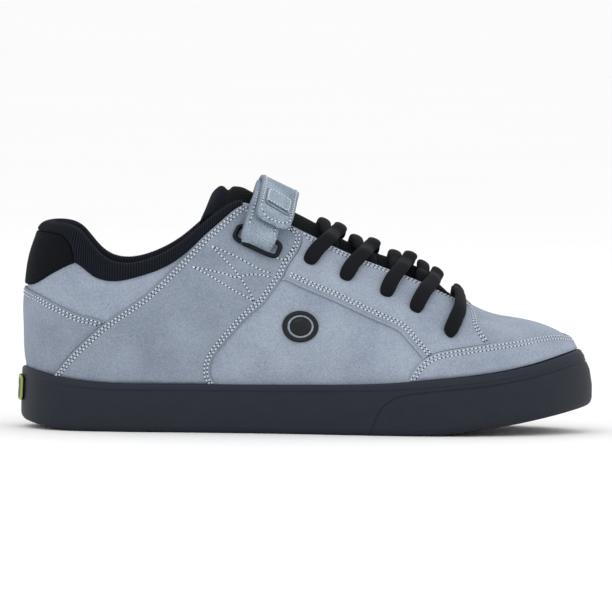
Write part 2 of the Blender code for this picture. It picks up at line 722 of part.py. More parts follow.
def make_heel_label(material, collection):
    """A bare plate on the back of the sole, one station to each side of the middle."""
    points = []
    for around in SKIN.stations[1] * np.array([-1, 0, 1]):
        for height in (HEEL_LABEL_FROM, HEEL_LABEL_TO):
            for out in (SEAM_GAP, SEAM_GAP + HEEL_LABEL_THICKNESS):
                points.append(wall_place(np.array([around]), height, 0.0, out)[0])
    faces = []
    for i in (0, 4):
        for a, b, c, d in ((0, 1, 5, 4), (1, 3, 7, 5), (3, 2, 6, 7), (2, 0, 4, 6)):
            faces.append((i + a, i + b, i + c, i + d))
    faces += [(0, 2, 3, 1), (8, 9, 11, 10)]
    return new_object("heel_label", mesh_from("heel_label", points, faces), material, collection)


# Upper and its layers


def make_upper(material, collection):
    points = SKIN.places.transpose(1, 0, 2).reshape(-1, 3)
    mesh = mesh_from("upper", points, ring_faces(2 * STATIONS, len(SKIN.ups)))
    return new_object("upper", mesh, material, collection)


Spot = namedtuple("Spot", "along high")
SADDLE_REAR = (
    #   seam from the rim up to the collar
    Spot(0.056, 0.216), Spot(0.062, 0.251), Spot(0.084, 0.326), Spot(0.111, 0.397),
    Spot(0.149, 0.482), Spot(0.183, 0.541), Spot(0.219, 0.607), Spot(0.240, 0.656),
    Spot(0.266, 0.723), Spot(0.309, 0.836), Spot(0.349, 0.927), Spot(0.384, 1.020),
)
SADDLE_FRONT = (
    #   seam from the rim up to the throat
    Spot(0.342, 0.200), Spot(0.334, 0.244), Spot(0.332, 0.283), Spot(0.337, 0.327),
    Spot(0.350, 0.373), Spot(0.378, 0.457), Spot(0.417, 0.549), Spot(0.437, 0.611),
    Spot(0.457, 0.682), Spot(0.465, 0.726), Spot(0.475, 0.763), Spot(0.484, 0.797),
    Spot(0.489, 0.841), Spot(0.485, 0.871), Spot(0.475, 0.920),
)
EYESTAY_LOWER = (
    #   seam from the saddle forward to the toe guard
    Spot(0.457, 0.684), Spot(0.487, 0.650), Spot(0.559, 0.575), Spot(0.632, 0.494),
    Spot(0.662, 0.460), Spot(0.676, 0.425), Spot(0.693, 0.378), Spot(0.707, 0.339),
)
EYESTAY_FRONT = (
    #   seam from the end of the throat down to the toe guard
    Spot(0.778, 0.560), Spot(0.798, 0.483), Spot(0.820, 0.400),
)
GUARD_TOP = (
    #   seam from the rim up and round the toe
    Spot(0.677, 0.205), Spot(0.686, 0.287), Spot(0.708, 0.342), Spot(0.744, 0.374),
    Spot(0.820, 0.401), Spot(0.871, 0.416), Spot(0.921, 0.430), Spot(0.968, 0.440),
)
COUNTER_TOP = (
    #   seam from the back of the heel forward to the saddle
    Spot(0.001, 0.620), Spot(0.032, 0.592), Spot(0.060, 0.558), Spot(0.099, 0.513),
    Spot(0.128, 0.498), Spot(0.149, 0.482),
)
TAB_LOWER = (
    #   seam from the back of the heel forward under the collar
    Spot(0.001, 0.628), Spot(0.022, 0.632), Spot(0.055, 0.686), Spot(0.094, 0.734),
)
TAB_FRONT = (
    #   seam from the collar's lower corner up to the topline
    Spot(0.094, 0.734), Spot(0.087, 0.807), Spot(0.071, 0.888),
)
CUFF_LOWER = (
    #   seam from the heel tab forward to the saddle
    Spot(0.094, 0.734), Spot(0.122, 0.683), Spot(0.147, 0.659), Spot(0.172, 0.658),
    Spot(0.205, 0.678), Spot(0.244, 0.713), Spot(0.280, 0.768), Spot(0.309, 0.836),
)

PANEL_THICKNESS = 1.3 * MM
GUARD_THICKNESS = 1.1 * MM
PANEL_TOP = SEAM_GAP + PANEL_THICKNESS
CUFF_DEPTH = 0.25  # how far the lining of the collar reaches down inside, of the wall's height


def seam(table, shift=0.0):
    """The table's seam as a smooth (around, up) line, moved left of its run by `shift`."""
    line = smooth_line(side_spots(table), 2)
    line[:, 1] = np.clip(line[:, 1], 0, 1)
    line[0, 1] = 0.0 if line[0, 1] < 0.03 else line[0, 1]
    line[-1, 1] = 1.0 if line[-1, 1] > 0.985 else line[-1, 1]
    return moved_left(line, shift) if shift else line


def other_side(loop):
    """The inner side's twin of a loop on the outer side."""
    return mirrored(loop, 1.0)


def nearest_end(line, spot):
    """Index of the line's place nearest to a (around, up) spot."""
    return int(np.hypot(*(line - spot).T).argmin())


def make_panels(paint, collection):
    half = SEAM_GAP / 2
    rear = seam(SADDLE_REAR, -half)
    front = seam(SADDLE_FRONT, half)
    saddle = np.vstack([rear, front[::-1]])
    for name, loop in (("saddle_lateral", saddle), ("saddle_medial", other_side(saddle))):
        panel(name, loop, SEAM_GAP, PANEL_TOP, paint["suede"], collection)

    saddle_side = seam(SADDLE_FRONT, -half)
    lower = seam(EYESTAY_LOWER, half)
    toe_end = seam(EYESTAY_FRONT, -half)
    guard_side = seam(GUARD_TOP, half)
    start = nearest_end(saddle_side, lower[0])
    first, last = nearest_end(guard_side, lower[-1]), nearest_end(guard_side, toe_end[-1])
    toe_side = guard_side[first:last + 1][::-1]
    eyestay = np.vstack([saddle_side[start:], toe_end[:-1], toe_side, lower[1:-1][::-1]])
    for name, loop in (("eyestay_lateral", eyestay), ("eyestay_medial", other_side(eyestay))):
        panel(name, loop, SEAM_GAP, PANEL_TOP, paint["suede"], collection)

    guard = seam(GUARD_TOP, -half)
    guard[-1, 0] = 1.0
    panel("toe_guard", np.vstack([guard, mirrored(guard, 1.0)[1:]]), SEAM_GAP,
          SEAM_GAP + GUARD_THICKNESS, paint["suede"], collection)

    behind = seam(SADDLE_REAR, half)
    counter = seam(COUNTER_TOP, -half)
    counter[0, 0] = 0.0
    joint = nearest_end(behind, counter[-1])
    lateral = np.vstack([behind[:joint + 1], counter[:-1][::-1]])
    panel("heel_counter", np.vstack([lateral, mirrored(lateral, 0.0)[1:]]), SEAM_GAP,
          PANEL_TOP, paint["suede"], collection)

    under = seam(TAB_LOWER, half)
    under[0, 0] = 0.0
    side = seam(TAB_FRONT, half)
    lateral = np.vstack([under[:-1], side])
    lateral[-1, 1] = 1.0 - HEEL_TAB_BELOW_TOPLINE
    lateral = np.vstack([lateral, [0.0, lateral[-1, 1]]])
    panel("heel_tab", np.vstack([mirrored(lateral, 0.0)[1:], lateral[:-1]]), SEAM_GAP,
          PANEL_TOP, paint["black_fabric"], collection)

    side = seam(TAB_FRONT, -half)
    side[-1, 1] = 1.0 - HEEL_TAB_BELOW_TOPLINE + 0.01
    under = seam(CUFF_LOWER, half)
    behind = seam(SADDLE_REAR, half)
    joint = nearest_end(behind, under[-1])
    lateral = np.vstack([[0.0, side[-1, 1]], side[::-1], under[1:-1], behind[joint:]])
    low = ROLLED + CUFF_DEPTH
    end = lateral[-1, 0]
    inside = np.array([[end, ROLLED], [end, low], [0.0, low]])
    loop = np.vstack([lateral, inside[:-1], mirrored(inside[:-1], 0.0), mirrored(lateral, 0.0)[:-1]])
    panel("collar_cuff", loop, SEAM_GAP, SEAM_GAP + CUFF_THICKNESS, paint["black_fabric"], collection)


BADGE_AT = Spot(0.489, 0.469)
BADGE_LENGTH = 18.5 * MM
BADGE_HEIGHT = 16 * MM
BADGE_THICKNESS = 1.5 * MM


def make_badge(material, collection):
    """A bare oval badge on the outer side."""
    turns = np.arange(16) / 16 * 2 * np.pi
    ring = [
        Spot(BADGE_AT.along + np.cos(turn) * BADGE_LENGTH / 2 / SHOE_LENGTH,
             BADGE_AT.high + np.sin(turn) * BADGE_HEIGHT / 2 / INSTEP_HEIGHT)
        for turn in turns
    ]
    return panel("side_badge", side_spots(ring), SEAM_GAP, SEAM_GAP + BADGE_THICKNESS, material, collection)


# Tongue

TongueStation = namedtuple("TongueStation", "along crown half_width wing drop thickness")
TONGUE = (
    #             along  crown  half_width wing  drop  thickness
    TongueStation(0.834, 0.472, 0.300, 1.30, 0.34, 3.6),
    TongueStation(0.800, 0.494, 0.340, 1.30, 0.40, 3.8),
    TongueStation(0.776, 0.512, 0.270, 1.30, 0.36, 4.0),
    TongueStation(0.762, 0.552, 0.270, 1.30, 0.55, 4.4),
    TongueStation(0.740, 0.622, 0.310, 1.30, 0.90, 5.0),
    TongueStation(0.693, 0.714, 0.380, 1.30, 1.00, 5.0),
    TongueStation(0.632, 0.765, 0.420, 1.30, 1.00, 5.0),
    TongueStation(0.569, 0.827, 0.440, 1.28, 1.00, 5.0),
    TongueStation(0.508, 0.908, 0.450, 1.24, 1.00, 5.0),
    TongueStation(0.455, 0.976, 0.460, 1.18, 1.00, 5.4),
    TongueStation(0.402, 1.037, 0.470, 1.10, 1.05, 6.0),
    TongueStation(0.372, 1.058, 0.480, 1.06, 1.05, 7.0),
    TongueStation(0.352, 1.052, 0.480, 1.04, 1.00, 7.5),
    TongueStation(0.345, 1.020, 0.470, 1.03, 0.95, 5.5),
)
TONGUE_DROP = 12.5 * MM
TONGUE_SWEEP = 5 * MM  # how far the top corners lie behind the middle
TONGUE_ACROSS = (-2.0, -1.0, -0.78, -0.5, -0.2, 0.2, 0.5, 0.78, 1.0, 2.0)  # 2 is the wing


def tongue_shape(row):
    """x, crown, half width, drop and thickness of a table row in metres."""
    return np.array([
        row.along * SHOE_LENGTH - HEEL_SEAT_AT, row.crown * INSTEP_HEIGHT,
        row.half_width * THROAT_WIDTH, row.drop * TONGUE_DROP, row.thickness * MM, row.wing,
    ])


def tongue_top(x, y):
    """Height of the tongue's outer face."""
    rows = np.array([tongue_shape(row) for row in TONGUE])[:-1][::-1]
    crown, half, drop = (np.interp(x, rows[:, 0], rows[:, k]) for k in (1, 2, 3))
    return crown - drop * np.abs(np.asarray(y) / half) ** 2


def make_tongue(material, collection):
    rings = []
    for row in TONGUE:
        x, crown, half, drop, thickness, wing = tongue_shape(row)
        back = TONGUE_SWEEP * np.clip((0.46 - row.along) / 0.11, 0, 1)
        top, under = [], []
        for share in TONGUE_ACROSS:
            inside = min(abs(share), 1.0)
            beyond = (wing - 1) * half * (abs(share) > 1)
            fall = drop * inside**2 + 0.9 * beyond
            thin = thickness * (1 - 0.45 * inside**3)
            y = np.sign(share) * (half * inside + beyond)
            under_y = y - np.sign(share) * 0.55 * inside**2 * thin
            top.append((x - back * inside**2, y, crown - fall))
            under.append((x - back * inside**2, under_y, crown - fall - thin))
        rings.append(top + under[::-1])
    size = len(rings[0])
    faces = []
    for i in range(len(rings) - 1):
        for j in range(size):
            a, b = i * size + j, i * size + (j + 1) % size
            faces += [(a, b, b + size), (a, b + size, a + size)]
    last = (len(rings) - 1) * size
    for first in (0, last):
        for j in range(size // 2 - 1):
            a, b, c, d = first + j, first + j + 1, first + size - 2 - j, first + size - 1 - j
            faces += [(a, b, c), (a, c, d)]
    points = np.array(rings).reshape(-1, 3)
    return new_object("tongue", mesh_from("tongue", points, faces), material, collection)


# Instep strap and its rings

STRAP_WIDTH = 18 * MM
STRAP_THICKNESS = 2.6 * MM
STRAP_LEAN = np.radians(25)
STRAP_TOP = Vector((0.454 * SHOE_LENGTH - HEEL_SEAT_AT, 0, 1.065 * INSTEP_HEIGHT))
STRAP_SHIFT = 4.5 * MM  # the free end lies this far toward the toe
STRAP_OVER_EDGE = 1.6 * MM  # room between the strap and the topline
STRAP_SHOULDER = 12 * MM  # from the middle of the strap to where it turns down
STRAP_SHOULDER_DROP = 6.6 * MM
RING_WIRE = 2.5 * MM
RING_LENGTH = 26.5 * MM
RING_DEPTH = 11 * MM
RING_AT = Spot(0.417, 0.821)  # middle of the ring, on the saddle
RING_LIFT_LATERAL = 0.8 * MM
RING_LIFT_MEDIAL = 3.3 * MM  # room for the strap under the bar it turns round
RING_UP = side_spots([RING_AT])[0][1]
RING_STEP = RING_DEPTH / 11  # unit of the strap's path above the ring's middle
LIFT_STEP = STRAP_THICKNESS / 2.6  # unit of its path off the suede

ALONG_STRAP = np.array([np.cos(STRAP_LEAN), 0, -np.sin(STRAP_LEAN)])
ABOVE_STRAP = np.array([np.sin(STRAP_LEAN), 0, np.cos(STRAP_LEAN)])


def strap_spot(up, side, out=0.0, shift=0.0):
    """Place above the saddle that lies in the strap's middle plane."""
    low, high = 0.3, 0.62
    for _ in range(24):
        middle = (low + high) / 2
        around = middle if side < 0 else 2 - middle
        place = SKIN.place(around, up, out)
        if (place - np.array(STRAP_TOP)) @ ALONG_STRAP < shift:
            low = middle
        else:
            high = middle
    return place


def strap_over(across, below):
    """Place in the strap's middle plane by its distance across and below the top."""
    return np.array(STRAP_TOP) + np.array([0, across, 0]) - ABOVE_STRAP * below


def ring_frame(side):
    """Middle of the ring on the suede, and the directions along, above and out of its bars."""
    centre = strap_spot(RING_UP, side, PANEL_TOP)
    above = strap_spot(RING_UP + 0.05, side, PANEL_TOP) - strap_spot(RING_UP - 0.05, side, PANEL_TOP)
    above /= np.linalg.norm(above)
    wide = ALONG_STRAP - above * (ALONG_STRAP @ above)
    wide /= np.linalg.norm(wide)
    return centre, wide, above, np.cross(above, wide) * side


def by_ring(height, lift, side):
    """Place `height` steps above the ring's middle and `lift` steps off the suede there."""
    centre, _, above, facing = ring_frame(side)
    return centre + above * height * RING_STEP + facing * lift * LIFT_STEP


def make_strap(material, collection):
    half = STRAP_THICKNESS / 2
    second = STRAP_THICKNESS + 2 * SEAM_GAP
    edge = PANEL_TOP + half + STRAP_OVER_EDGE
    turn = STRAP_SHOULDER * 23 / 24
    rows = [
        #   place                        shift width
        (by_ring(-0.9, 1.7, -1), 0.0, 1.0),
        (by_ring(-0.4, 2.4, -1), 0.0, 1.0),
        (by_ring(1.5, 4.2, -1), 0.0, 1.0),
        (by_ring(4.4, 5.5, -1), 0.0, 1.0),
        (by_ring(9.0, 4.4, -1), 0.0, 1.0),
        (strap_spot(1.0, -1, edge), 0.0, 1.0),
        (strap_over(-STRAP_SHOULDER, STRAP_SHOULDER_DROP), 0.0, 1.0),
        (strap_over(0, second + half), 0.0, 1.0),
        (strap_over(STRAP_SHOULDER, STRAP_SHOULDER_DROP), 0.0, 1.0),
        (strap_spot(1.0, 1, edge), 0.0, 1.0),
        (by_ring(10.0, 2.6, 1), 0.0, 1.0),
        (by_ring(4.4, 2.0, 1), 0.0, 1.0),
        (by_ring(2.2, 2.85, 1), 0.0, 1.0),
        (by_ring(1.35, 4.9, 1), 0.0, 1.0),
        (by_ring(2.2, 6.95, 1), 0.0, 1.0),
        (by_ring(4.4, 7.8, 1), 0.0, 1.0),
        (by_ring(10.0, 7.0, 1), 0.1, 1.0),
        (strap_spot(1.0, 1, edge + second), 0.3, 1.0),
        (strap_over(turn, STRAP_SHOULDER_DROP - second), 0.5, 1.0),
        (strap_over(0, half), 0.8, 1.0),
        (strap_over(-turn, STRAP_SHOULDER_DROP - second), 0.9, 1.0),
        (strap_spot(1.0, -1, edge + second), 1.0, 1.0),
        (by_ring(13.5, 7.2, -1), 1.0, 1.0),
        (by_ring(11.0, 7.6, -1), 1.0, 0.86),
        (by_ring(9.5, 7.9, -1), 1.0, 0.5),
    ]
    line = smooth_line([(*place, shift, width) for place, shift, width in rows], 2)
    centres = line[:, :3] + ALONG_STRAP * line[:, 3:4] * STRAP_SHIFT
    wide, thick = sweep_axes(line[:, :3], ALONG_STRAP)
    profile = [(-1, -1), (1, -1), (1, 1), (-1, 1)]
    mesh = sweep("strap", centres, wide * line[:, 4:5] * STRAP_WIDTH / 2, thick * half, profile)
    return new_object("strap", mesh, material, collection)


def make_ring(name, side, lift, material, collection):
    """A rounded wire loop that lies over the saddle."""
    centre, wide, above, facing = ring_frame(side)
    centre = centre + facing * (SEAM_GAP + RING_WIRE / 2 + lift)
    turns = np.arange(16) / 16 * 2 * np.pi
    along = np.sign(np.cos(turns)) * np.abs(np.cos(turns)) ** 0.42 * (RING_LENGTH - RING_WIRE) / 2
    rise = np.sign(np.sin(turns)) * np.abs(np.sin(turns)) ** 0.42 * (RING_DEPTH - RING_WIRE) / 2
    centres = centre + along[:, None] * wide + rise[:, None] * above
    flat, thick = sweep_axes(centres, facing, closed=True)
    mesh = sweep(name, centres, flat * RING_WIRE / 2, thick * RING_WIRE / 2, round_profile(6), closed=True)
    return new_object(name, mesh, material, collection)


# Laces

EYELETS = (
    Spot(0.503, 0.753), Spot(0.566, 0.683), Spot(0.637, 0.613), Spot(0.689, 0.549), Spot(0.749, 0.454),
)
LACE_WIDTH = 7 * MM
LACE_THICKNESS = 4 * MM
LACE_OUT = PANEL_TOP + SEAM_GAP + LACE_THICKNESS / 2 + 1.3 * MM
EYELET_BORE = 4 * MM


def eyelet_spots():
    return side_spots(EYELETS)


def over_edge(spot, ahead, side):
    """Lace centres from an eyelet up the eyestay and over the throat's edge."""
    start = np.array(spot)
    places = []
    for share in (0.0, 0.5, 1.0):
        around = start[0] + ahead * share
        up = start[1] + (1 - start[1]) * share
        places.append(SKIN.place(around if side < 0 else 2 - around, up, LACE_OUT))
    return places


def on_tongue(x, y, lift=0.0):
    """Lace centre that rests on the tongue, `lift` higher."""
    fall = (tongue_top(x, y + 1 * MM) - tongue_top(x, y - 1 * MM)) / (2 * MM)
    run = (tongue_top(x + 3 * MM, y) - tongue_top(x - 3 * MM, y)) / (6 * MM)
    off = (3 * SEAM_GAP + LACE_THICKNESS / 2) * np.sqrt(1 + fall**2 + run**2)
    return np.array([x, y, tongue_top(x, y) + off + lift])


def lace_path(first, last, side, lift):
    """A lace from its eyelet over the edge and the tongue, then down at the other edge."""
    spots = eyelet_spots()
    places = over_edge(spots[first], (spots[last][0] - spots[first][0]) * 0.3, side)
    far_around = spots[last][0] - 0.022
    edge, far = places[-1], SKIN.place(2 - far_around if side < 0 else far_around, ROLLED)
    for across, share in ((10, 0.5), (0, 1.0), (-8, 0.4)):
        x = edge[0] + (far[0] - edge[0]) * (0.5 - across * 0.02)
        places.append(on_tongue(x, side * across * MM, lift * share))
    places.append(on_tongue(far[0], far[1] + side * 3.4 * MM, (1.2 + last * 0.3) * MM))
    return smooth_line(places, 2)


def lace_mesh(name, centres):
    x = centres[:, 0].mean()
    slope = np.array([10 * MM, 0.0, tongue_top(x + 5 * MM, 0) - tongue_top(x - 5 * MM, 0)])
    wide, thick = sweep_axes(centres, slope)
    return sweep(name, centres, wide * LACE_WIDTH / 2, thick * LACE_THICKNESS / 2, round_profile(6))


def make_laces(material, collection, cutters):
    for row in range(4):
        name = f"lace_cross_{row + 1}"
        over = new_object(name, lace_mesh(name, lace_path(row, row + 1, -1, 2.6 * MM)), material, collection)
        under = new_object(f"{name}_under", lace_mesh(f"{name}_under", lace_path(row, row + 1, 1, 0.0)),
                           material, cutters)
        cut(over, under, "UNION")
    near, far = (over_edge(eyelet_spots()[4], 0.012, side) for side in (-1, 1))
    x = (near[-1][0] + far[-1][0]) / 2
    middle = [on_tongue(x, y * MM, 1.9 * MM) for y in (-9, 0, 9)]
    bar = smooth_line([*near, *middle, *far[::-1]], 2)
    new_object("lace_bar", lace_mesh("lace_bar", bar), material, collection)


def eyelet_bores(side):
    """Short round bars through the eyestay and the wall under each eyelet."""
    points, faces = [], []
    profile = round_profile(8)
    for around, up in eyelet_spots():
        turned = around if side < 0 else 2 - around
        centre, facing = SKIN.place(turned, up), SKIN.facing(turned, up)
        wide = np.cross(facing, [0, 0, 1.0])
        wide /= np.linalg.norm(wide)
        thick = np.cross(facing, wide)
        first = len(points)
        for depth in (-2 * UPPER_WALL, PANEL_TOP + 1 * MM):
            for a, b in profile:
                points.append(centre + facing * depth + (wide * a + thick * b) * EYELET_BORE / 2)
        for j in range(8):
            a, b = first + j, first + (j + 1) % 8
            faces += [(a, b, b + 8), (a, b + 8, a + 8)]
        faces += [tuple(range(first, first + 8)), tuple(range(first + 15, first + 7, -1))]
    return points, faces


def cut_eyelets(collection, cutters, material):
    upper = collection.objects["upper"]
    for side, label in ((-1, "lateral"), (1, "medial")):
        name = f"eyelets_{label}"
        tool = new_object(name, mesh_from(name, *eyelet_bores(side)), material, cutters)
        cut(upper, tool)
        cut(collection.objects[f"eyestay_{label}"], tool)


def plain_material(name, colour, roughness, metallic=0.0):
    material = bpy.data.materials.new(name)
    material.use_nodes = True
    shader = material.node_tree.nodes["Principled BSDF"]
    shader.inputs["Base Color"].default_value = (*colour, 1)
    shader.inputs["Roughness"].default_value = roughness
    shader.inputs["Metallic"].default_value = metallic
    material.diffuse_color = (*colour, 1)
    return material


def main():
    for thing in list(bpy.data.objects):
        bpy.data.objects.remove(thing)
    shoe = bpy.data.collections.new("skateboarding_shoe")
    cutters = bpy.data.collections.new("cutters")
    bpy.context.scene.collection.children.link(shoe)
    bpy.context.scene.collection.children.link(cutters)
    paint = {
        "suede": plain_material("grey_suede", (0.36, 0.41, 0.49), 0.9),
        "strap_suede": plain_material("pale_suede", (0.50, 0.56, 0.65), 0.9),
        "rubber": plain_material("black_rubber", (0.03, 0.033, 0.04), 0.55),
        "gloss_rubber": plain_material("gloss_rubber", (0.01, 0.011, 0.012), 0.25),
        "black_fabric": plain_material("black_fabric", (0.012, 0.013, 0.016), 0.95),
        "label_rubber": plain_material("green_rubber", (0.03, 0.035, 0.02), 0.5),
        "metal": plain_material("gunmetal", (0.12, 0.12, 0.13), 0.35, 1.0),
    }
    make_outsole(paint["rubber"], shoe, cutters)
    make_heel_label(paint["label_rubber"], shoe)
    make_upper(paint["suede"], shoe)
    make_insole(paint["black_fabric"], shoe)
    make_panels(paint, shoe)
    make_badge(paint["gloss_rubber"], shoe)
    make_tongue(paint["black_fabric"], shoe)
    make_strap(paint["strap_suede"], shoe)
    make_ring("strap_ring_lateral", -1, RING_LIFT_LATERAL, paint["metal"], shoe)
    make_ring("strap_ring_medial", 1, RING_LIFT_MEDIAL, paint["metal"], shoe)
    make_laces(paint["black_fabric"], shoe, cutters)
    cut_eyelets(shoe, cutters, paint["metal"])


if __name__ == "__main__":
    main()
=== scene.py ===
"""Looks of a grey suede skateboarding shoe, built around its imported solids.

The surface of the last is the one of the part's own source: a place on it is
told by `around` (0 at the back of the heel, 1 at the tip of the toe along the
outer side, 2 at the heel again) and `up` (0 at the rim of the sole, 1 at the
topline, up to ROLLED over the rolled edge, and on down inside).
"""

from collections import namedtuple

import bmesh
import bpy
import numpy as np
from mathutils import Matrix, Vector
from mathutils.geometry import delaunay_2d_cdt


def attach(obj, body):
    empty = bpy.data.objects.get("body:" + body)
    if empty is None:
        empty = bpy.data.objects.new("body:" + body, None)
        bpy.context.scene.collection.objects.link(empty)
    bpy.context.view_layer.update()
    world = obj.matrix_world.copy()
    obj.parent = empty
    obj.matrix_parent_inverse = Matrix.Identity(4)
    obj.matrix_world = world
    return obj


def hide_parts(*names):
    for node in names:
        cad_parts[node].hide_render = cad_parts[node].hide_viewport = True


bl_info = {
    "name": "Skateboarding shoe looks",
    "version": (1, 0, 0),
    "blender": (4, 5, 0),
    "location": "View3D > Sidebar > Shoe",
    "description": "Suede, knit, laces, strap and rubber sole around the packed shoe",
    "category": "Object",
}

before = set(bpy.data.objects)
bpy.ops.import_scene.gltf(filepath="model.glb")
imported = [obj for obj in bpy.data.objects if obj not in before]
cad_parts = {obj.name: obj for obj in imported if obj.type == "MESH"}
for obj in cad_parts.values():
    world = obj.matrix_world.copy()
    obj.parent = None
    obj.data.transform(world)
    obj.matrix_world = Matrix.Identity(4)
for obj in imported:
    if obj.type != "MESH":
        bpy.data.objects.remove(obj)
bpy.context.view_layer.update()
MM = 0.001

# Sizes of the part's source, in metres
SHOE_LENGTH = 295 * MM
BALL_WIDTH = 107 * MM
WAIST_WIDTH = 79 * MM
HEEL_WIDTH = 81 * MM
HEEL_SEAT_AT = 46 * MM
SIDEWALL_HEIGHT = 25 * MM
SIDEWALL_LEAN = 6.5 * MM
SIDEWALL_FOOT = 6 * MM
HEEL_THICKNESS = 13.5 * MM
FOREFOOT_THICKNESS = 9.5 * MM
HEEL_BEVEL = 4.5 * MM
HEEL_BEVEL_LENGTH = 35 * MM
TOE_SPRING = 14.5 * MM
TOE_SPRING_LENGTH = 90 * MM
HEEL_HEIGHT = 104.5 * MM
COLLAR_DIP_HEIGHT = 85.2 * MM
INSTEP_HEIGHT = 117.8 * MM
THROAT_END_HEIGHT = 63.8 * MM
COLLAR_WIDTH = 63 * MM
THROAT_WIDTH = 41 * MM
UPPER_WALL = 2.4 * MM
COLLAR_PAD = 9 * MM
BELLY_SWELL = 6 * MM
SEAM_GAP = 0.35 * MM
PANEL_TOP = SEAM_GAP + 1.3 * MM
GUARD_TOP_OUT = SEAM_GAP + 1.1 * MM
ROLLED = 1.2
THROAT_SWAY = 0.019

Station = namedtuple("Station", "along lateral medial width rim lean")
OUTLINE = tuple(Station(*row) for row in (
    (0.000, 0.000, 0.000, HEEL_WIDTH, 1.25, 0.12),
    (0.019, 0.260, 0.260, HEEL_WIDTH, 1.21, 0.12),
    (0.061, 0.420, 0.415, HEEL_WIDTH, 1.11, 0.15),
    (0.142, 0.507, 0.490, HEEL_WIDTH, 1.01, 0.20),
    (0.254, 0.520, 0.470, HEEL_WIDTH, 1.00, 0.20),
    (0.380, 0.540, 0.450, WAIST_WIDTH, 1.00, 0.20),
    (0.500, 0.585, 0.475, WAIST_WIDTH, 1.02, 0.20),
    (0.630, 0.490, 0.420, BALL_WIDTH, 1.07, 0.22),
    (0.732, 0.500, 0.480, BALL_WIDTH, 1.165, 0.30),
    (0.824, 0.458, 0.472, BALL_WIDTH, 1.28, 0.50),
    (0.908, 0.350, 0.393, BALL_WIDTH, 1.455, 0.75),
    (0.969, 0.190, 0.234, BALL_WIDTH, 1.63, 0.95),
    (1.000, -0.019, 0.019, BALL_WIDTH, 1.71, 1.00),
))

Rib = namedtuple("Rib", "foot along across width height over pad belly_out belly_up neck_out neck_down")
RIBS = tuple(Rib(*row) for row in (
    (0.00, 0.051, 0.000, COLLAR_WIDTH, 1.000, HEEL_HEIGHT, 1.0, 1.05, 0.36, 0.084, 0.25),
    (0.05, 0.056, 0.183, COLLAR_WIDTH, 1.002, HEEL_HEIGHT, 1.0, 1.05, 0.36, 0.084, 0.25),
    (0.10, 0.078, 0.350, COLLAR_WIDTH, 1.001, HEEL_HEIGHT, 1.0, 0.92, 0.35, 0.065, 0.27),
    (0.15, 0.112, 0.452, COLLAR_WIDTH, 0.952, HEEL_HEIGHT, 1.0, 0.92, 0.34, 0.042, 0.30),
    (0.19, 0.142, 0.484, COLLAR_WIDTH, 1.049, COLLAR_DIP_HEIGHT, 0.95, 1.0, 0.34, 0.023, 0.34),
    (0.23, 0.176, 0.500, COLLAR_WIDTH, 1.000, COLLAR_DIP_HEIGHT, 0.9, 1.0, 0.34, 0.014, 0.36),
    (0.28, 0.224, 0.505, COLLAR_WIDTH, 1.030, COLLAR_DIP_HEIGHT, 0.9, 1.0, 0.34, 0.019, 0.36),
    (0.325, 0.271, 0.492, COLLAR_WIDTH, 0.806, INSTEP_HEIGHT, 0.83, 1.0, 0.34, 0.037, 0.34),
    (0.365, 0.312, 0.468, COLLAR_WIDTH, 0.891, INSTEP_HEIGHT, 0.78, 1.0, 0.33, 0.065, 0.32),
    (0.395, 0.349, 0.437, COLLAR_WIDTH, 0.962, INSTEP_HEIGHT, 0.67, 1.0, 0.33, 0.084, 0.28),
    (0.42, 0.383, 0.397, COLLAR_WIDTH, 1.000, INSTEP_HEIGHT, 0.55, 1.0, 0.32, 0.103, 0.22),
    (0.445, 0.414, 0.560, THROAT_WIDTH, 0.976, INSTEP_HEIGHT, 0.42, 1.0, 0.32, 0.112, 0.20),
    (0.49, 0.475, 0.524, THROAT_WIDTH, 0.896, INSTEP_HEIGHT, 0.31, 1.0, 0.33, 0.131, 0.18),
    (0.56, 0.549, 0.500, THROAT_WIDTH, 0.801, INSTEP_HEIGHT, 0.31, 1.0, 0.34, 0.150, 0.16),
    (0.63, 0.620, 0.476, THROAT_WIDTH, 0.724, INSTEP_HEIGHT, 0.31, 1.0, 0.38, 0.168, 0.16),
    (0.70, 0.688, 0.440, THROAT_WIDTH, 1.207, THROAT_END_HEIGHT, 0.31, 0.92, 0.42, 0.206, 0.15),
    (0.78, 0.739, 0.366, THROAT_WIDTH, 1.082, THROAT_END_HEIGHT, 0.31, 0.92, 0.50, 0.250, 0.17),
    (0.87, 0.771, 0.232, THROAT_WIDTH, 1.024, THROAT_END_HEIGHT, 0.31, 1.1, 0.75, 0.275, 0.26),
    (1.00, 0.786, 0.000, THROAT_WIDTH, 1.000, THROAT_END_HEIGHT, 0.31, 1.25, 0.98, 0.280, 0.326),
))

Spot = namedtuple("Spot", "along high")  # seen from the outer side


def spots(*pairs):
    """A line of places seen from the outer side."""
    return tuple(Spot(*pair) for pair in pairs)


SADDLE_REAR = spots(
    (0.056, 0.216), (0.062, 0.251), (0.084, 0.326), (0.111, 0.397), (0.149, 0.482), (0.183, 0.541),
    (0.219, 0.607), (0.24, 0.656), (0.266, 0.723), (0.309, 0.836), (0.349, 0.927), (0.384, 1.02))
SADDLE_FRONT = spots(
    (0.342, 0.2), (0.334, 0.244), (0.332, 0.283), (0.337, 0.327), (0.35, 0.373), (0.378, 0.457),
    (0.417, 0.549), (0.437, 0.611), (0.457, 0.682), (0.465, 0.726), (0.475, 0.763), (0.484, 0.797),
    (0.489, 0.841), (0.485, 0.871), (0.475, 0.92))
EYESTAY_LOWER = spots(
    (0.457, 0.684), (0.487, 0.65), (0.559, 0.575), (0.632, 0.494), (0.662, 0.46), (0.676, 0.425),
    (0.693, 0.378), (0.707, 0.339))
EYESTAY_FRONT = spots((0.778, 0.56), (0.798, 0.483), (0.82, 0.4))
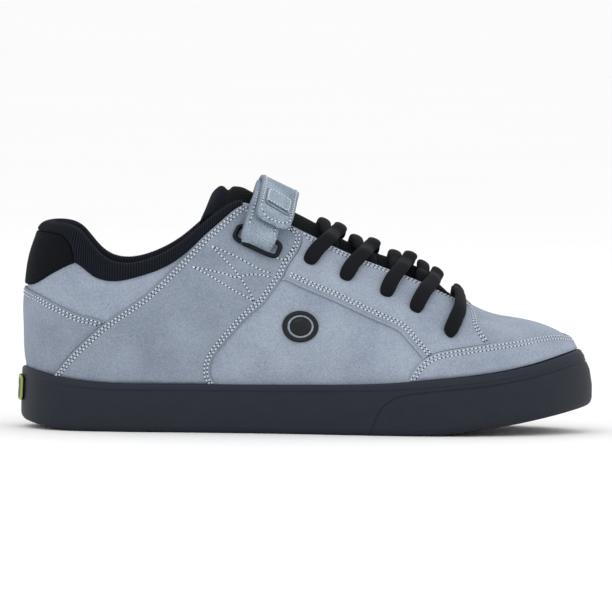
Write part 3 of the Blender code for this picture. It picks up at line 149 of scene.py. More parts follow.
GUARD_TOP = spots(
    (0.677, 0.205), (0.686, 0.287), (0.708, 0.342), (0.744, 0.374), (0.82, 0.401), (0.871, 0.416),
    (0.921, 0.43), (0.968, 0.44))
COUNTER_TOP = spots(
    (0.001, 0.62), (0.032, 0.592), (0.06, 0.558), (0.099, 0.513), (0.128, 0.498), (0.149, 0.482))
TAB_LOWER = spots((0.001, 0.628), (0.022, 0.632), (0.055, 0.686), (0.094, 0.734))
TAB_FRONT = spots((0.094, 0.734), (0.087, 0.807), (0.071, 0.888))
CUFF_LOWER = spots(
    (0.094, 0.734), (0.122, 0.683), (0.147, 0.659), (0.172, 0.658), (0.205, 0.678), (0.244, 0.713),
    (0.28, 0.768), (0.309, 0.836))
SADDLE_LINES = (
    spots((0.331, 0.815), (0.385, 0.754), (0.417, 0.711), (0.433, 0.699)),
    spots((0.331, 0.813), (0.357, 0.752), (0.383, 0.675), (0.397, 0.62), (0.406, 0.581)),
    spots((0.298, 0.724), (0.316, 0.716), (0.354, 0.696), (0.381, 0.681), (0.433, 0.681)),
    spots((0.298, 0.724), (0.319, 0.699), (0.352, 0.652), (0.378, 0.613), (0.403, 0.579)),
)
STRAP_ANCHOR_ROW = spots((0.395, 0.88), (0.402, 0.815), (0.43, 0.775), (0.462, 0.755), (0.474, 0.8))
EYELETS = spots((0.503, 0.753), (0.566, 0.683), (0.637, 0.613), (0.689, 0.549), (0.749, 0.454))
BADGE_AT = Spot(0.489, 0.469)
RING_AT = Spot(0.417, 0.821)

# Troughs and ridges pressed in the suede: depth in mm, below 0 for a trough
Crease = namedtuple("Crease", "depth width medial line")
CREASES = tuple(Crease(*row) for row in (
    (-0.9, 6.0, 1.0, spots(
        (0.04, 0.61), (0.1, 0.59), (0.16, 0.59), (0.205, 0.625), (0.245, 0.68))),
    (0.8, 5.5, 1.0, spots((0.1, 0.69), (0.15, 0.632), (0.19, 0.642), (0.235, 0.69))),
    (-0.7, 7.0, 0.8, spots((0.285, 0.66), (0.262, 0.52), (0.235, 0.4), (0.2, 0.3))),
    (0.6, 8.0, 0.8, spots((0.32, 0.59), (0.292, 0.45), (0.262, 0.32))),
    (-0.5, 5.0, 1.1, spots((0.18, 0.47), (0.16, 0.39), (0.15, 0.3))),
    (-0.8, 6.0, 1.1, spots((0.655, 0.44), (0.64, 0.36), (0.628, 0.27))),
    (0.7, 7.0, 1.0, spots((0.6, 0.47), (0.585, 0.36), (0.58, 0.27))),
    (-0.5, 6.0, 1.0, spots((0.545, 0.5), (0.53, 0.38), (0.528, 0.28))),
    (0.5, 8.0, 1.0, spots((0.4, 0.43), (0.44, 0.34), (0.5, 0.29))),
    (-0.7, 5.0, 0.9, spots((0.8, 0.52), (0.845, 0.48), (0.89, 0.455))),
    (0.6, 7.0, 1.0, spots((0.83, 0.5), (0.88, 0.48), (0.93, 0.45))),
    (-0.6, 4.5, 1.0, spots((0.76, 0.52), (0.745, 0.44), (0.74, 0.39))),
    (-0.5, 5.0, 1.0, spots((0.72, 0.3), (0.78, 0.32), (0.85, 0.345), (0.92, 0.38))),
    (-0.45, 5.0, 1.0, spots((0.06, 0.45), (0.05, 0.36), (0.045, 0.29))),
    (-0.5, 4.0, 1.0, spots((0.44, 0.56), (0.49, 0.6), (0.54, 0.56))),
))


class ClosedSpline:
    """Smooth closed curves through a table's rows, heel to toe and back."""

    def __init__(self, knots, values):
        self.knots = np.append(knots, 2.0)
        self.values = np.vstack([values, values[:1]])
        steps = np.diff(self.knots)
        slopes = np.diff(self.values, axis=0) / steps[:, None]
        count = len(knots)
        system = np.zeros((count, count))
        for i in range(count):
            system[i, i - 1] += steps[i - 1]
            system[i, i] += 2 * (steps[i - 1] + steps[i])
            system[i, (i + 1) % count] += steps[i]
        bends = np.linalg.solve(system, 6 * (slopes - np.roll(slopes, 1, axis=0)))
        self.bends = np.vstack([bends, bends[:1]])

    def at(self, around):
        """The curves' values at places round the shoe."""
        around = np.mod(np.asarray(around, float), 2.0)
        left = np.clip(np.searchsorted(self.knots, around, side="right") - 1, 0, len(self.knots) - 2)
        step = (self.knots[left + 1] - self.knots[left])[..., None]
        past = (around - self.knots[left])[..., None]
        ahead = step - past
        return (
            self.bends[left] * ahead**3 / (6 * step)
            + self.bends[left + 1] * past**3 / (6 * step)
            + (self.values[left] / step - self.bends[left] * step / 6) * ahead
            + (self.values[left + 1] / step - self.bends[left + 1] * step / 6) * past
        )


def x_of(share):
    """Place along the shoe at a share of its length."""
    return share * SHOE_LENGTH - HEEL_SEAT_AT


def both_sides(lateral, medial):
    """Rows of the outer side from heel to toe, then those of the inner side back to the heel."""
    return np.array(list(lateral) + list(medial)[-2:0:-1], float)


def outline_spline():
    """x, y, rim height and rim lean round the sole."""
    sides = []
    for sign, column in ((-1, 1), (1, 2)):
        sides.append([
            (x_of(s.along), sign * s[column] * s.width, s.rim * SIDEWALL_HEIGHT, s.lean * SIDEWALL_LEAN)
            for s in OUTLINE
        ])
    runs = [
        sum(np.linalg.norm(np.subtract(side[i + 1][:2], side[i][:2])) for side in sides)
        for i in range(len(OUTLINE) - 1)
    ]
    shares = np.concatenate([[0], np.cumsum(runs) / sum(runs)])
    return ClosedSpline(both_sides(shares, 2 - shares), both_sides(*sides))


def rib_spline():
    """Crest x, y, z, wall at the crest and the four pulls of each rib."""
    rows = {-1: [], 1: []}
    for rib in RIBS:
        sway = THROAT_SWAY * BALL_WIDTH * rib.foot**2
        for side, kept in rows.items():
            kept.append((
                x_of(rib.along), sway + side * rib.across * rib.width, rib.height * rib.over,
                rib.pad * COLLAR_PAD, rib.belly_out * BELLY_SWELL, rib.belly_up,
                rib.neck_out * BALL_WIDTH, rib.neck_down,
            ))
    feet = np.array([rib.foot for rib in RIBS])
    return ClosedSpline(both_sides(feet, 2 - feet), both_sides(rows[-1], rows[1]))


SOLE_LINE = outline_spline()
RIB_LINE = rib_spline()


def smooth_step(value):
    """An eased share from 0 to 1."""
    value = np.clip(value, 0.0, 1.0)
    return value * value * (3 - 2 * value)


def unit(vectors):
    """The vectors made one long."""
    return vectors / np.maximum(np.linalg.norm(vectors, axis=-1, keepdims=True), 1e-12)


def outward(around):
    """Level unit vectors that point out of the sole's outline."""
    step = 1e-4
    run = unit(SOLE_LINE.at(around + step)[..., :2] - SOLE_LINE.at(around - step)[..., :2])
    return np.stack([run[..., 1], -run[..., 0], np.zeros_like(run[..., 0])], axis=-1)


def tread_height(x):
    """Height of the tread above the floor, with the heel's bevel and the toe's spring."""
    from_back = x + HEEL_SEAT_AT
    bevel = np.clip(1 - from_back / HEEL_BEVEL_LENGTH, 0, 1) ** 2
    spring = np.clip(1 - (SHOE_LENGTH - from_back) / TOE_SPRING_LENGTH, 0, 1) ** 1.5
    return HEEL_BEVEL * bevel + TOE_SPRING * spring


def floor_height(x):
    """Height of the floor inside the cup."""
    share = smooth_step(((x + HEEL_SEAT_AT) / SHOE_LENGTH - 0.3) / 0.35)
    return tread_height(x) + HEEL_THICKNESS + (FOREFOOT_THICKNESS - HEEL_THICKNESS) * share


def rib_handles(around):
    """The four Bezier points of each rib, from the floor of the cup to the topline."""
    sole = SOLE_LINE.at(around)
    rib = RIB_LINE.at(around)
    out = outward(around)
    up = np.array([0.0, 0.0, 1.0])
    inset = SIDEWALL_FOOT + SEAM_GAP + 0.4 * sole[..., 3]
    foot = np.concatenate([sole[..., :2], np.zeros_like(sole[..., :1])], axis=-1) - out * inset[..., None]
    foot[..., 2] = floor_height(foot[..., 0]) + SEAM_GAP
    crest = rib[..., :3]
    rise = (crest[..., 2] - foot[..., 2])[..., None]
    half_wall = rib[..., 3:4] / 2
    neck = out * rib[..., 6:7] - up * rib[..., 7:8] * rise
    climb = -unit(neck)
    lean = (climb * up).sum(-1, keepdims=True)
    face = out * lean + up * np.sqrt(np.clip(1 - lean**2, 0, 1))
    top = crest - climb * half_wall + face * half_wall
    belly = foot + out * rib[..., 4:5] + up * rib[..., 5:6] * rise
    return foot, belly, top + neck, top


def along_rib(handles, t):
    """Places at shares `t` of the ribs, and the directions in which they climb there."""
    t = np.asarray(t, float)[..., None]
    a, b, c, d = handles
    s = 1 - t
    place = a * s**3 + 3 * b * s * s * t + 3 * c * s * t * t + d * t**3
    climb = 3 * ((b - a) * s * s + 2 * (c - b) * s * t + (d - c) * t * t)
    return place, climb


def rim_share(around):
    """Rib share at which each rib passes the rim of the sole."""
    handles = rib_handles(around)
    rim = SOLE_LINE.at(around)[..., 2] + SEAM_GAP
    low, high = np.zeros_like(rim), np.full_like(rim, 0.7)
    for _ in range(24):
        middle = (low + high) / 2
        under = along_rib(handles, middle)[0][..., 2] < rim
        low, high = np.where(under, middle, low), np.where(under, high, middle)
    return low


RIM_AROUND = np.linspace(-0.02, 2.02, 2041)
RIM_TABLE = (RIM_AROUND, rim_share(RIM_AROUND))


def surface(around, up):
    """Places on the upper and the directions that they face, outside, over the edge and inside."""
    around, up = np.broadcast_arrays(np.asarray(around, float), np.asarray(up, float))
    around = np.mod(around, 2.0)
    rim = np.interp(around, *RIM_TABLE)
    row = np.where(up <= 1, up, np.minimum(ROLLED + 1 - up, 1))
    share = np.where(row < 0, rim * (1 + row), rim + (1 - rim) * row)
    step = 1e-4
    place, climb = along_rib(rib_handles(around), share)
    run = along_rib(rib_handles(around + step), share)[0] - along_rib(rib_handles(around - step), share)[0]
    normal = unit(np.cross(run, climb))
    climb = unit(climb)
    pad = RIB_LINE.at(around)[..., 3]
    wall = (UPPER_WALL + (pad - UPPER_WALL) * smooth_step((share - 0.45) / 0.5))[..., None]
    turn = np.clip((up - 1) / (ROLLED - 1), 0, 1)[..., None] * np.pi
    facing = normal * np.cos(turn) + climb * np.sin(turn)
    return place + (facing - normal) * wall / 2, facing


# Even places on the outer side, where the search for a seen spot starts
COARSE = np.stack(np.meshgrid(
    np.linspace(0, 1, 241), np.linspace(0, 1, 61), indexing="ij"), axis=-1).reshape(-1, 2)
COARSE_SEEN = surface(*COARSE.T)[0][:, [0, 2]]


def side_spots(line):
    """(around, up) of places seen from the outer side."""
    targets = np.array([(x_of(p[0]), p[1] * INSTEP_HEIGHT) for p in line])
    missed = np.linalg.norm(COARSE_SEEN[None] - targets[:, None], axis=2)
    found = COARSE[missed.argmin(1)]
    reach = np.array([1 / 160, 1 / 40])
    turns = np.stack(np.meshgrid(*[np.linspace(-1, 1, 7)] * 2, indexing="ij"), -1).reshape(-1, 2)
    for _ in range(6):
        tries = np.clip(found[:, None] + turns * reach, 0, 1)
        seen = surface(tries[..., 0], tries[..., 1])[0][..., [0, 2]]
        best = np.linalg.norm(seen - targets[:, None], axis=2).argmin(1)
        found = tries[np.arange(len(found)), best]
        reach = reach / 2.6
    return found


def smooth_line(points, parts=4):
    """Catmull-Rom curve through the points."""
    points = np.asarray(points, float)
    ends = np.vstack([2 * points[0] - points[1], points, 2 * points[-1] - points[-2]])
    curve = []
    for before, start, end, after in zip(ends, ends[1:], ends[2:], ends[3:]):
        for t in np.arange(parts) / parts:
            curve.append(0.5 * (2 * start + (end - before) * t
                                + (2 * before - 5 * start + 4 * end - after) * t**2
                                + (3 * start - before - 3 * end + after) * t**3))
    return np.array(curve + [points[-1]])


def stretch(line):
    """Metres travelled per unit of around and of up."""
    step = 1e-3
    around, up = line[:, 0], np.clip(line[:, 1], step, 1 - step)
    run = (surface(around + step, up)[0] - surface(around - step, up)[0]) / (2 * step)
    rise = (surface(around, up + step)[0] - surface(around, up - step)[0]) / (2 * step)
    return run, rise


def moved_left(line, distance, closed=False):
    """A line of (around, up) moved over the surface, to the left as seen from outside."""
    run, rise = stretch(line)
    if closed:
        heading = np.roll(line, -1, axis=0) - np.roll(line, 1, axis=0)
    else:
        heading = np.gradient(line, axis=0)
    travel = run * heading[:, :1] + rise * heading[:, 1:]
    left = unit(np.cross(np.cross(run, rise), travel)) * distance
    a, b, c = (run * run).sum(1), (run * rise).sum(1), (rise * rise).sum(1)
    p, q = (run * left).sum(1), (rise * left).sum(1)
    return line + np.stack([p * c - q * b, q * a - p * b], axis=1) / (a * c - b * b)[:, None]


def seam(table, shift=0.0):
    """The table's seam as a smooth line of (around, up), moved left of its run."""
    line = smooth_line(side_spots(table), 4)
    line[:, 1] = np.clip(line[:, 1], 0, 1)
    line[0, 1] = 0.0 if line[0, 1] < 0.03 else line[0, 1]
    line[-1, 1] = 1.0 if line[-1, 1] > 0.985 else line[-1, 1]
    if not shift:
        return line
    moved = moved_left(line, shift)
    moved[:, 1] = np.clip(moved[:, 1], 0, 1)
    for end in (0, -1):
        if line[end, 1] in (0.0, 1.0):
            moved[end, 1] = line[end, 1]
    return moved


def mirrored(line, about):
    """The same line on the other side of the heel (about 0) or the toe (about 1)."""
    other = line[::-1].copy()
    other[:, 0] = 2 * about - other[:, 0]
    return other


def run_of(places):
    """Metres travelled along a line at each of its places."""
    return np.concatenate([[0], np.cumsum(np.linalg.norm(np.diff(places, axis=0), axis=1))])


def resampled(at, run, rows):
    """The columns of `rows`, known at `run`, read at `at`."""
    return np.stack([np.interp(at, run, column) for column in rows.T], axis=-1)


def even(line, step):
    """The line in equal steps over the surface."""
    run = run_of(surface(*line.T)[0])
    at = np.linspace(0, run[-1], max(int(round(run[-1] / step)), 2) + 1)
    return resampled(at, run, line)


def nearest(places, others):
    """Distance from each place to the nearest of the others, and which it is."""
    distance, index = np.empty(len(places)), np.empty(len(places), int)
    for first in range(0, len(places), 4000):
        part = places[first:first + 4000]
        square = ((part[:, None, :] - others[None]) ** 2).sum(2)
        index[first:first + 4000] = square.argmin(1)
        distance[first:first + 4000] = np.sqrt(square.min(1))
    return distance, index


HIDE_UNEVENNESS = 0.12 * MM
CREASE_LINES = []  # height, width and places of each crease, on both sides
for crease in CREASES:
    path = smooth_line(side_spots(crease.line), 6)
    for twin, share in ((path, 1.0), (mirrored(path, 1.0), crease.medial)):
        CREASE_LINES.append((crease.depth * MM * share, crease.width * MM, surface(*twin.T)[0]))


def relief(place, up, depth=1.0):
    """How far the pressed creases and the unevenness of the hide move a place outwards."""
    flat = place.reshape(-1, 3)
    x, _, z = flat.T
    moved = HIDE_UNEVENNESS * (np.sin(x * 210 + z * 130) + np.sin(z * 260 - x * 90))
    for height, width, line in CREASE_LINES:
        distance, index = nearest(flat, line)
        taper = np.sin(np.pi * np.clip((index + 0.6) / (len(line) + 0.2), 0, 1)) ** 0.6
        moved += height * taper * np.exp(-((distance / width) ** 2))
    fade = smooth_step(up / 0.07) * smooth_step((1 - up) / 0.08)
    return depth * moved.reshape(place.shape[:-1]) * fade


def dressed(around, up, out=0.0):
    """Places `out` from the creased surface, and the directions that they face."""
    place, facing = surface(around, up)
    lift = np.asarray(out) + relief(place, np.broadcast_to(up, place.shape[:-1]), look().crease_depth)
    return place + facing * lift[..., None], facing


# Materials


def linear(code):
    """An sRGB hex value as a linear colour."""
    parts = np.array([int(code[k:k + 2], 16) / 255 for k in (1, 3, 5)])
    return tuple(np.where(parts <= 0.04045, parts / 12.92, ((parts + 0.055) / 1.055) ** 2.4))


def add(tree, kind, inputs=None, **settings):
    """A node with its settings, values and links."""
    made = tree.nodes.new(kind)
    for name, value in settings.items():
        setattr(made, name, value)
    for socket, value in (inputs or {}).items():
        if isinstance(value, bpy.types.NodeSocket):
            tree.links.new(value, made.inputs[socket])
        else:
            made.inputs[socket].default_value = value
    return made


def rgba(colour):
    """A colour that covers in full."""
    return (*colour, 1.0)


def blank(name, *grains):
    """A new material: itself, its tree, its shader, its place in the object and its cloudy noises.

    Each noise is given by the metres across its patches, its detail and its roughness.
    """
    material = bpy.data.materials.new(name)
    material.use_nodes = True
    tree = material.node_tree
    place = add(tree, "ShaderNodeTexCoord").outputs["Object"]
    noises = [
        add(tree, "ShaderNodeTexNoise", {
            "Vector": place, "Scale": 1 / size, "Detail": detail, "Roughness": roughness}).outputs["Fac"]
        for size, detail, roughness in grains
    ]
    return material, tree, tree.nodes["Principled BSDF"], place, *noises


def ramp(tree, value, low, high, dark, light):
    """A colour from `dark` at `low` to `light` at `high`."""
    share = add(tree, "ShaderNodeMapRange", {"Value": value, "From Min": low, "From Max": high})
    return add(tree, "ShaderNodeMix", {0: share.outputs["Result"], 6: rgba(dark), 7: rgba(light)},
               data_type="RGBA").outputs[2]


def sum_of(tree, *terms):
    """The weighted sum of (value, weight) pairs."""
    total = None
    for value, weight in terms:
        part = add(tree, "ShaderNodeMath", {0: value, 1: weight}, operation="MULTIPLY").outputs[0]
        total = part if total is None else add(
            tree, "ShaderNodeMath", {0: total, 1: part}, operation="ADD").outputs[0]
    return total


def over_piece(tree):
    """Millimetres across and along a piece, from its own UV map."""
    uv = add(tree, "ShaderNodeUVMap", uv_map="over").outputs["UV"]
    return add(tree, "ShaderNodeSeparateXYZ", {0: uv}).outputs[:2]


def wave(tree, value, turn):
    """A sine wave over a value, `turn` radians to a millimetre."""
    angle = add(tree, "ShaderNodeMath", {0: value, 1: turn}, operation="MULTIPLY").outputs[0]
    return add(tree, "ShaderNodeMath", {0: angle}, operation="SINE").outputs[0]


def finish_shader(tree, shader, colour, roughness, height=None, depth=0.0, strength=0.5, **sockets):
    """Give a shader its colour, its roughness, its relief and the values of the named sockets."""
    tree.links.new(colour, shader.inputs["Base Color"])
    shader.inputs["Roughness"].default_value = roughness
    for name, value in sockets.items():
        shader.inputs[name.replace("_", " ").title().replace("Ior", "IOR")].default_value = value
    if height is not None:
        bump = add(tree, "ShaderNodeBump", {"Height": height, "Distance": depth, "Strength": strength})
        tree.links.new(bump.outputs["Normal"], shader.inputs["Normal"])


FLUFF = (0.6 * MM, 3.0, 0.55)  # short fibres, drawn as coarse as they need to show
SMEAR = 3.0, 0.55  # detail and roughness of a moulded or painted surface's unevenness
DOT_PITCH = 1.5  # mm between the dots of the toe bumper
STRAND_TURN = 4.2  # radians to a mm across the lace's strands


def suede(name, dark, light, spread=0.14, nap_size=1.0 * MM):
    """Split leather with a brushed nap: matt, cloudy where the nap lies each way, softly lit at the rim, with
    painted shade along its cut edges.
    """
    material, tree, shader, _, clouds, nap, fibre = blank(
        name, (24 * MM, 5.0, 0.6), (nap_size, 3.0, 0.7), (nap_size * 0.5, 2.0, 0.6))
    shade = sum_of(tree, (clouds, 0.34), (nap, 0.36), (fibre, 0.3))
    colour = ramp(tree, shade, 0.5 - spread, 0.5 + spread, dark, light)
    # Painted shade from the `edge` mark: towards 0.55 of the dark colour along cut edges and down their walls
    edge = add(tree, "ShaderNodeAttribute", attribute_name="edge").outputs["Fac"]
    colour = add(tree, "ShaderNodeMix", {0: edge, 6: colour, 7: rgba(0.55 * c for c in dark)},
                 data_type="RGBA").outputs[2]
    finish_shader(tree, shader, colour, 0.95, sum_of(tree, (nap, 0.7), (fibre, 0.3)), 0.2 * MM, 0.7,
                  specular_ior_level=0.1, sheen_weight=0.1, sheen_roughness=0.45)
    return material


def knit(name, dark, light, rib_pitch):
    """Ribbed polyester knit: matt black with fine ribs that run over the collar's edge."""
    material, tree, shader, _, fluff = blank(name, (0.7 * MM, 3.0, 0.7))
    ribs = wave(tree, over_piece(tree)[0], 2 * np.pi / (rib_pitch / MM))
    height = sum_of(tree, (ribs, 0.35), (fluff, 0.5))
    finish_shader(tree, shader, ramp(tree, height, 0.0, 0.6, dark, light), 0.9, height, 0.25 * MM,
                  specular_ior_level=0.08, sheen_weight=0.02, sheen_roughness=0.4)
    return material


def mesh_cloth(name, dark, light, pitch):
    """Spacer mesh of the tongue: a field of small sunk cells, softly shiny between them."""
    material, tree, shader, place, fluff = blank(name, FLUFF)
    cells = add(tree, "ShaderNodeTexVoronoi", {"Vector": place, "Scale": 1 / pitch, "Randomness": 0.25})
    height = sum_of(tree, (cells.outputs["Distance"], -0.9), (fluff, 0.3))
    finish_shader(tree, shader, ramp(tree, height, -0.45, 0.1, dark, light), 0.85, height, 0.35 * MM, 0.6,
                  specular_ior_level=0.1, sheen_weight=0.02)
    return material


def plain_cloth(name, dark, light):
    """Brushed polyester lining: matt, with a slight pile."""
    material, tree, shader, _, fluff = blank(name, (0.6 * MM, 4.0, 0.7))
    finish_shader(tree, shader, ramp(tree, fluff, 0.3, 0.7, dark, light), 0.92, fluff, 0.15 * MM,
                  specular_ior_level=0.06, sheen_weight=0.02)
    return material


def braid(name, dark, light):
    """Flat braided polyester lace: dull, its strands crossing aslant."""
    material, tree, shader, _, fluff = blank(name, FLUFF)
    across, along = over_piece(tree)
    strands = []
    for slant in ("ADD", "SUBTRACT"):
        aslant = add(tree, "ShaderNodeMath", {0: across, 1: along}, operation=slant).outputs[0]
        strands.append(wave(tree, aslant, STRAND_TURN))
    woven = add(tree, "ShaderNodeMath", {0: strands[0], 1: strands[1]}, operation="MULTIPLY").outputs[0]
    height = sum_of(tree, (woven, 0.4), (fluff, 0.5))
    finish_shader(tree, shader, ramp(tree, height, -0.1, 0.6, dark, light), 0.8, height, 0.18 * MM,
                  specular_ior_level=0.12, sheen_weight=0.02)
    return material


def sidewall_rubber(name, dark, light):
    """Moulded vulcanised rubber: satin black, a little dusty, dotted on the toe bumper, with a painted
    highlight band.
    """
    material, tree, shader, _, dust, fine = blank(name, (9 * MM, 5.0, 0.65), (0.8 * MM, 2.0, 0.55))
    shade = sum_of(tree, (dust, 0.7), (fine, 0.3))
    colour = ramp(tree, shade, 0.35, 0.7, dark, [1.25 * c for c in dark])
    # Painted highlight: the `band` mark mixes towards the rim's paler colour
    band, dots = (
        add(tree, "ShaderNodeAttribute", attribute_name=mark).outputs["Fac"] for mark in ("band", "bumper"))
    colour = add(tree, "ShaderNodeMix", {0: band, 6: colour, 7: rgba(light)}, data_type="RGBA").outputs[2]
    for run in over_piece(tree):
        ridges = wave(tree, run, 2 * np.pi / DOT_PITCH)
        dots = add(tree, "ShaderNodeMath", {0: dots, 1: ridges}, operation="MULTIPLY").outputs[0]
    finish_shader(tree, shader, colour, 0.56, sum_of(tree, (dots, 0.6), (fine, 0.25)), 0.22 * MM, 0.6,
                  specular_ior_level=0.25)
    return material


def smooth_stuff(name, colour, roughness, metallic=0.0, size=0.5 * MM, **sockets):
    """Moulded rubber, plated wire or thread, with the fine unevenness of its surface."""
    material, tree, shader, _, fine = blank(name, (size, *SMEAR))
    dark, light = ([min(share * c, 1.0) for c in colour] for share in (0.85, 1.12))
    finish_shader(tree, shader, ramp(tree, fine, 0.3, 0.7, dark, light), roughness, fine, 0.03 * MM,
                  metallic=metallic, **sockets)
    return material


PAINT = {}


def mix_materials():
    """All finishes, named for what they really are."""
    tones = bpy.context.scene.shoe_colours

    def shades(kind):
        """The dark and the light of a finish."""
        return getattr(tones, f"{kind}_dark"), getattr(tones, f"{kind}_light")

    PAINT.update({
        "suede": suede("brushed_suede", *shades("suede")),
        "deep": suede("deep_brushed_suede", *shades("deep")),
        "strap": suede("heather_strap_suede", *shades("strap"), 0.075, 0.8 * MM),
        "knit": knit("ribbed_knit", *shades("knit"), look().rib_pitch),
        "mesh": mesh_cloth("spacer_mesh", *shades("black"), 1.5 * MM),
        "lining": plain_cloth("brushed_lining", *shades("knit")),
        "tab": plain_cloth("black_backing_cloth", *shades("black")),
        "lace": braid("braided_lace", *shades("lace")),
        "rubber": sidewall_rubber("vulcanised_rubber", tones.rubber, tones.rubber_rim_painted_highlight),
        "gloss": smooth_stuff("glossy_moulded_rubber", tones.gloss, 0.3, specular_ior_level=0.3),
        "thread": smooth_stuff("polyester_thread", tones.thread, 0.6, sheen_weight=0.2),
        "hole": smooth_stuff("painted_needle_hole_shade", tones.hole, 0.9),
        "wire": smooth_stuff("gunmetal_plated_wire", tones.wire, 0.34, 1.0, 2 * MM),
        "label": smooth_stuff("moulded_label_rubber", tones.label, 0.5),
        "label_rim": smooth_stuff("lime_label_rubber", tones.label_rim, 0.5),
    })


# Meshes


def shown(name, points, faces, paints, replaces=(), face_paint=None, marks=None, over=None):
    """A finished piece on the root body, smooth, closed and facing outwards."""
    mesh = bpy.data.meshes.new(name)
    mesh.from_pydata(np.asarray(points).tolist(), [], [list(map(int, f)) for f in faces])
    for paint in paints:
        mesh.materials.append(PAINT[paint])
    if face_paint is not None:
        mesh.polygons.foreach_set("material_index", np.asarray(face_paint, np.int32))
    for mark, values in (marks or {}).items():
        mesh.attributes.new(mark, "FLOAT", "POINT").data.foreach_set("value", np.asarray(values, np.float32))
    if over is not None:
        corners = np.empty(len(mesh.loops), np.int32)
        mesh.loops.foreach_get("vertex_index", corners)
        layer = mesh.uv_layers.new(name="over")
        layer.data.foreach_set("uv", np.asarray(over, np.float32)[corners].ravel())
    shape = bmesh.new()
    shape.from_mesh(mesh)
    bmesh.ops.recalc_face_normals(shape, faces=shape.faces)
    for face in shape.faces:
        face.smooth = True
    shape.to_mesh(mesh)
    shape.free()
    return placed(name, mesh, replaces)


def placed(name, mesh, replaces=()):
    """A finished mesh as an object that rides on the root body."""
    thing = bpy.data.objects.new(name, mesh)
    bpy.context.scene.collection.objects.link(thing)
    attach(thing, "root")
    if replaces:
        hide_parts(*replaces)
    return thing


def grid_faces(rows, columns, wrap_rows=False, wrap_columns=True, first=0):
    """Quads of a grid of points kept row by row."""
    faces = []
    for i in range(rows if wrap_rows else rows - 1):
        for j in range(columns if wrap_columns else columns - 1):
            a, b = first + i * columns + j, first + i * columns + (j + 1) % columns
            c, d = first + (i + 1) % rows * columns + (j + 1) % columns, first + (i + 1) % rows * columns + j
            faces.append((a, b, c, d))
    return faces


def inside(loop, places):
    """Which flat places a closed loop goes round."""
    ahead = np.roll(loop, -1, axis=0)
    x, y = places[:, 0][:, None], places[:, 1][:, None]
    crosses = (loop[:, 1] > y) != (ahead[:, 1] > y)
    rise = ahead[:, 1] - loop[:, 1]
    rise = np.where(rise == 0, 1e-12, rise)
    at = loop[:, 0] + (y - loop[:, 1]) / rise * (ahead[:, 0] - loop[:, 0])
    return (crosses & (at > x)).sum(1) % 2 == 1


def signed_area(loop):
    """Area in a closed flat loop, above 0 where it runs anticlockwise."""
    ahead = np.roll(loop, -1, axis=0)
    return 0.5 * (loop[:, 0] * ahead[:, 1] - ahead[:, 0] * loop[:, 1]).sum()


def across_faces(first, size):
    """Faces straight across a ring of even `size` whose first point is numbered `first`."""
    quads = [(first + i, first + i + 1, first + (size - 1 - i) % size, first + (size - i) % size)
             for i in range(size // 2)]
    return [tuple(dict.fromkeys(quad)) for quad in quads]


def capped(rings, last_middle, first_middle):
    """Points and faces of rings, closed by a fan on the last and one on the first."""
    rings = np.array(rings)
    count, size = rings.shape[:2]
    faces = grid_faces(count, size)
    for j in range(size):
        faces.append(((count - 1) * size + j, (count - 1) * size + (j + 1) % size, count * size))
        faces.append(((j + 1) % size, j, count * size + 1))
    return np.vstack([rings.reshape(-1, 3), last_middle, first_middle]), faces


EDGE_STEPS = ((0.0, 0.0), (0.12, 0.50), (0.32, 0.80), (0.65, 0.95), (1.15, 1.0))  # mm in, share of thickness
EDGE_PITCH = 0.75 * MM  # between the points of a cut edge
LAP_REACH = 0.35 * MM  # a point this near a neighbour's line runs in below it
LAYER_SUNK = 0.25 * MM  # a layer's underside lies this far in the body
# Painted shade along each layer's free cut edge, down its cut wall and on its underside
PAINTED_EDGE_SHADE = 0.45  # painted shade: how dark a layer is made along its free cut edge
PAINTED_EDGE_SHADE_WIDTH = 0.3 * MM
Trough = namedtuple("Trough", "line depth width")


def edge_height(distance):
    """Share of a layer's thickness at a distance from its cut edge."""
    steps = np.array(EDGE_STEPS)
    return np.interp(distance / MM, steps[:, 0], steps[:, 1])


